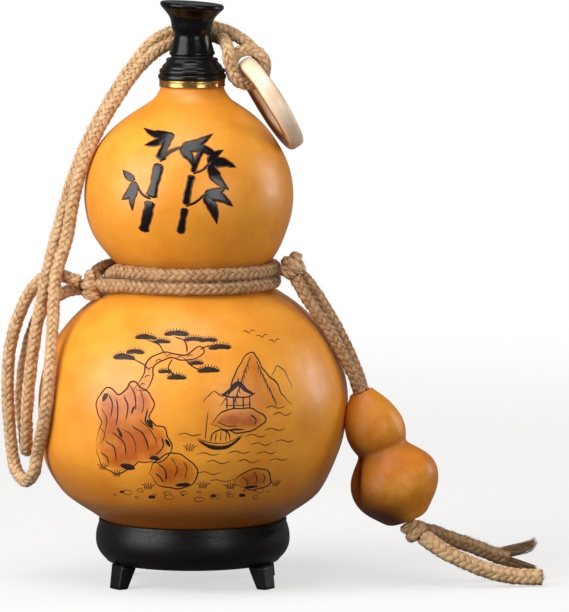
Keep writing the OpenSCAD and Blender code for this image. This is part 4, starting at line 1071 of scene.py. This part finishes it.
# Jute yarn: dry plant fibre, straw coloured, with painted shade that darkens it from the crests into the crevices
def juteMaterial(name, crest, body, creviceShade, shift):
    material, tree, shader = newMaterial(name, {"IOR": 1.5, "Roughness": 0.85, "Sheen Weight": 0.15, "Sheen Roughness": 0.5, "Specular IOR Level": 0.3})
    depth = addNode(tree, "ShaderNodeAttribute", {"attribute_name": "depth"}).outputs["Fac"]
    tone = addNode(tree, "ShaderNodeAttribute", {"attribute_name": "tone"}).outputs["Fac"]
    # painted shade: the crevice colour where yarns lie deep, the crest colour where they stand out
    shadedTone = setRamp(addNode(tree, "ShaderNodeValToRGB", links={"Fac": depth}), [(0.12, creviceShade), (0.55, body), (0.92, crest)])
    flat = addNode(tree, "ShaderNodeUVMap", {"uv_map": "surface"}).outputs[0]
    strands = addNode(tree, "ShaderNodeMapping", links={"Vector": flat, "Scale": (5.5, 0.55, 1.0)}).outputs[0]  # yarn fibres run along v, about 0.2 mm apart
    streak = addNode(tree, "ShaderNodeTexNoise", links={"Vector": strands, "Scale": 1.0, "Detail": 3.0}).outputs[0]
    varied = mixColours(tree, calculate(tree, "MULTIPLY", tone, shift), shadedTone, body, "MULTIPLY")
    streaked = mixColours(tree, setRamp(addNode(tree, "ShaderNodeValToRGB", links={"Fac": streak}), [(0.42, 0.0), (0.66, 0.75)]), varied, crest)
    shadows = setRamp(addNode(tree, "ShaderNodeValToRGB", links={"Fac": streak}), [(0.3, 0.7), (0.46, 0.0)])
    darkened = mixColours(tree, shadows, streaked, creviceShade)
    patchy = mixColours(tree, setRamp(addNode(tree, "ShaderNodeValToRGB", links={"Fac": grains(tree, 5, 3)}), [(0.4, 0.0), (0.7, 0.3)]), darkened, body)
    tree.links.new(patchy, shader.inputs["Base Color"])
    bumpFrom(tree, shader, streak, 1.0, 0.4)
    return material


jute = juteMaterial("braided jute", "#F2D0A2", "#C99862", "#542E12", 0.45)
# a darker copy of the jute as painted shade, for the winding in the waist and the pendants
shadedJute = juteMaterial("jute in painted shade", "#DDB384", "#A97B4A", "#43240E", 0.5)
frayedJute = juteMaterial("frayed jute", "#B8946A", "#8C6840", "#442A14", 0.4)


# Agglomerated cork: pale grains a few mm across in a darker binder, springy and matt
def corkMaterial():
    material, tree, shader = newMaterial("pressed cork", {"IOR": 1.4, "Specular IOR Level": 0.3})
    place = addNode(tree, "ShaderNodeTexCoord").outputs["Object"]
    cells = addNode(tree, "ShaderNodeTexVoronoi", links={"Vector": place, "Scale": 1 / (1.8 * mm)})
    tone = setRamp(addNode(tree, "ShaderNodeValToRGB", links={"Fac": cells.outputs["Color"]}), [(0.1, "#8E6234"), (0.5, "#C29A64"), (0.9, "#D8B785")])
    tree.links.new(tone, shader.inputs["Base Color"])
    tree.links.new(setRamp(addNode(tree, "ShaderNodeValToRGB", links={"Fac": grains(tree, 1, 2)}), [(0.3, 0.7), (0.7, 0.9)]), shader.inputs["Roughness"])
    bumpFrom(tree, shader, cells.outputs["Distance"], 0.5, 0.3)
    return material


# Moulded resin or rubber: one even colour, a little dusty, with a satin face
def mouldedMaterial(name, pale, dark, rough):
    material, tree, shader = newMaterial(name, {"IOR": 1.43})
    tree.links.new(setRamp(addNode(tree, "ShaderNodeValToRGB", links={"Fac": grains(tree, 4, 3)}), [(0.3, dark), (0.7, pale)]), shader.inputs["Base Color"])
    tree.links.new(setRamp(addNode(tree, "ShaderNodeValToRGB", links={"Fac": grains(tree, 2, 3)}), [(0.3, rough), (0.7, rough + 0.15)]), shader.inputs["Roughness"])
    bumpFrom(tree, shader, grains(tree, 0.5, 2), 0.3, 0.05)
    return material


# Gives pieces their material, and pieces without a material slot a new one
def dress(material, slot, *pieces):
    for piece in pieces:
        if piece.material_slots:
            for place in piece.material_slots:
                place.material = material
        else:
            piece.data.materials.append(material)


dress(gourdWax, "gourd_skin", gourdSkin)
dress(charmSkin, "charm_skin", charmGourd)
dress(charBlack, "gourd_skin", bambooStrokes)
dress(scorchBrown, "gourd_skin", bambooHalo)
dress(charBrown, "gourd_skin", landscapeLines)
dress(standWood, "stained_wood", *standPieces)
dress(brass, "brass", brassFerrule)
dress(collarLacquer, "black_lacquer", mouthCollar)
dress(blackLacquer, "black_lacquer", stopperHead)
dress(bone, "ring_bone", boneRing)
dress(jute, "jute_cord", *[p for p in lateJute if not p.name.startswith(("tailFrayed", "waist", "pendant"))])
# the winding and pendants get the copy of the jute that is darkened with painted shade
dress(shadedJute, "jute_cord", *[p for p in lateJute if p.name.startswith(("waist", "pendant"))])
dress(frayedJute, "frayed_jute", frayUpper, frayLower, tailBrush, *[p for p in lateJute if p.name.startswith("tailFrayed")])
dress(mouldedMaterial("food resin lining", "#3A2418", "#26160E", 0.4), None, nodes["mouth_tube"])
dress(pegWood, None, nodes["stopper_peg"])
dress(corkMaterial(), None, nodes["cork_plug"])
dress(mouldedMaterial("rubber washer", "#141211", "#0A0908", 0.5), None, nodes["seal_washer"])
print("materials made")

studio = {
    "floorSize": 9000, "floor": "#F4F3F1", "bounce": "#4A4542", "floorGlow": 0.6, "fadeFrom": 0.35, "fadeTo": 1.1,
    "world": 0.18, "gloss": 0.22,
    # place, size, watts and colour of each softbox, all aimed at the object
    "lamps": [
        ("keyLamp", (-1340, -840, 640), (1400, 1500), 36, "#FFFFFF"),
        ("topLamp", (-150, -500, 1500), (900, 900), 10, "#FFFFFF"),
        ("rimLamp", (1350, 350, 420), (380, 700), 6.5, "#FFFFFF"),
        ("fillLamp", (900, -1500, 500), (700, 900), 8.5, "#FFFFFF"),
    ],
}


# White for the camera, half as bright in reflections; elsewhere the floor is a mid grey, so that
# it throws little light up, and far from the object it fades into the white behind it
def makeStudio():
    size = studio["floorSize"] / 2 * mm
    floor = bpy.data.objects.new("floor", bpy.data.meshes.new("floor"))
    floor.data.from_pydata([(-size, -size, 0), (size, -size, 0), (size, size, 0), (-size, size, 0)], [], [(0, 1, 2, 3)])
    bpy.context.scene.collection.objects.link(floor)
    material, tree, shader = newMaterial("matt white paper", {"Roughness": 0.9, "Specular IOR Level": 0.1})
    path = addNode(tree, "ShaderNodeLightPath")
    seen = path.outputs["Is Camera Ray"]
    tree.links.new(mixColours(tree, seen, studio["bounce"], studio["floor"]), shader.inputs["Base Color"])
    place = addNode(tree, "ShaderNodeTexCoord").outputs["Object"]
    away = addNode(tree, "ShaderNodeVectorMath", {"operation": "LENGTH"}, {0: place}).outputs["Value"]
    fade = addNode(tree, "ShaderNodeMapRange", {"interpolation_type": "SMOOTHSTEP"}, {
        "Value": away, "From Min": studio["fadeFrom"], "From Max": studio["fadeTo"], "To Min": studio["floorGlow"], "To Max": 1.0}).outputs[0]
    halfSeen = calculate(tree, "MAXIMUM", seen, calculate(tree, "MULTIPLY", path.outputs["Is Glossy Ray"], studio["gloss"]))
    glow = addNode(tree, "ShaderNodeEmission", links={"Color": (1, 1, 1, 1), "Strength": 1.0})
    mixed = addNode(tree, "ShaderNodeMixShader", links={0: calculate(tree, "MULTIPLY", halfSeen, fade), 1: shader.outputs["BSDF"], 2: glow.outputs[0]})
    output = next(n for n in tree.nodes if n.type == "OUTPUT_MATERIAL")
    tree.links.new(mixed.outputs[0], output.inputs["Surface"])
    floor.data.materials.append(material)

    world = bpy.data.worlds.new("studio")
    bpy.context.scene.world = world
    world.use_nodes = True
    tree = world.node_tree
    tree.nodes.clear()
    path = addNode(tree, "ShaderNodeLightPath")
    seen = calculate(tree, "MAXIMUM", path.outputs["Is Camera Ray"], path.outputs["Is Transmission Ray"])
    strength = addNode(tree, "ShaderNodeMapRange", links={"Value": seen, "To Min": studio["world"], "To Max": 1.0}).outputs[0]
    plain = addNode(tree, "ShaderNodeBackground", links={"Color": (1, 1, 1, 1), "Strength": strength})
    addNode(tree, "ShaderNodeOutputWorld", links={"Surface": plain.outputs[0]})

    for name, place, size, watts, colour in studio["lamps"]:
        data = bpy.data.lights.new(name, "AREA")
        data.shape, data.size, data.size_y = "RECTANGLE", size[0] * mm, size[1] * mm
        data.energy, data.color = watts, linear(colour)[:3]
        lamp = bpy.data.objects.new(name, data)
        lamp.location = np.array(place) * mm
        aim = np.array([10, 0, 130]) - place
        lamp.rotation_euler = (np.arctan2(np.hypot(aim[0], aim[1]), -aim[2]), 0, np.arctan2(-aim[0], aim[1]))
        bpy.context.scene.collection.objects.link(lamp)


makeStudio()
print("studio made")

bpy.context.scene.view_settings.view_transform = "Standard"
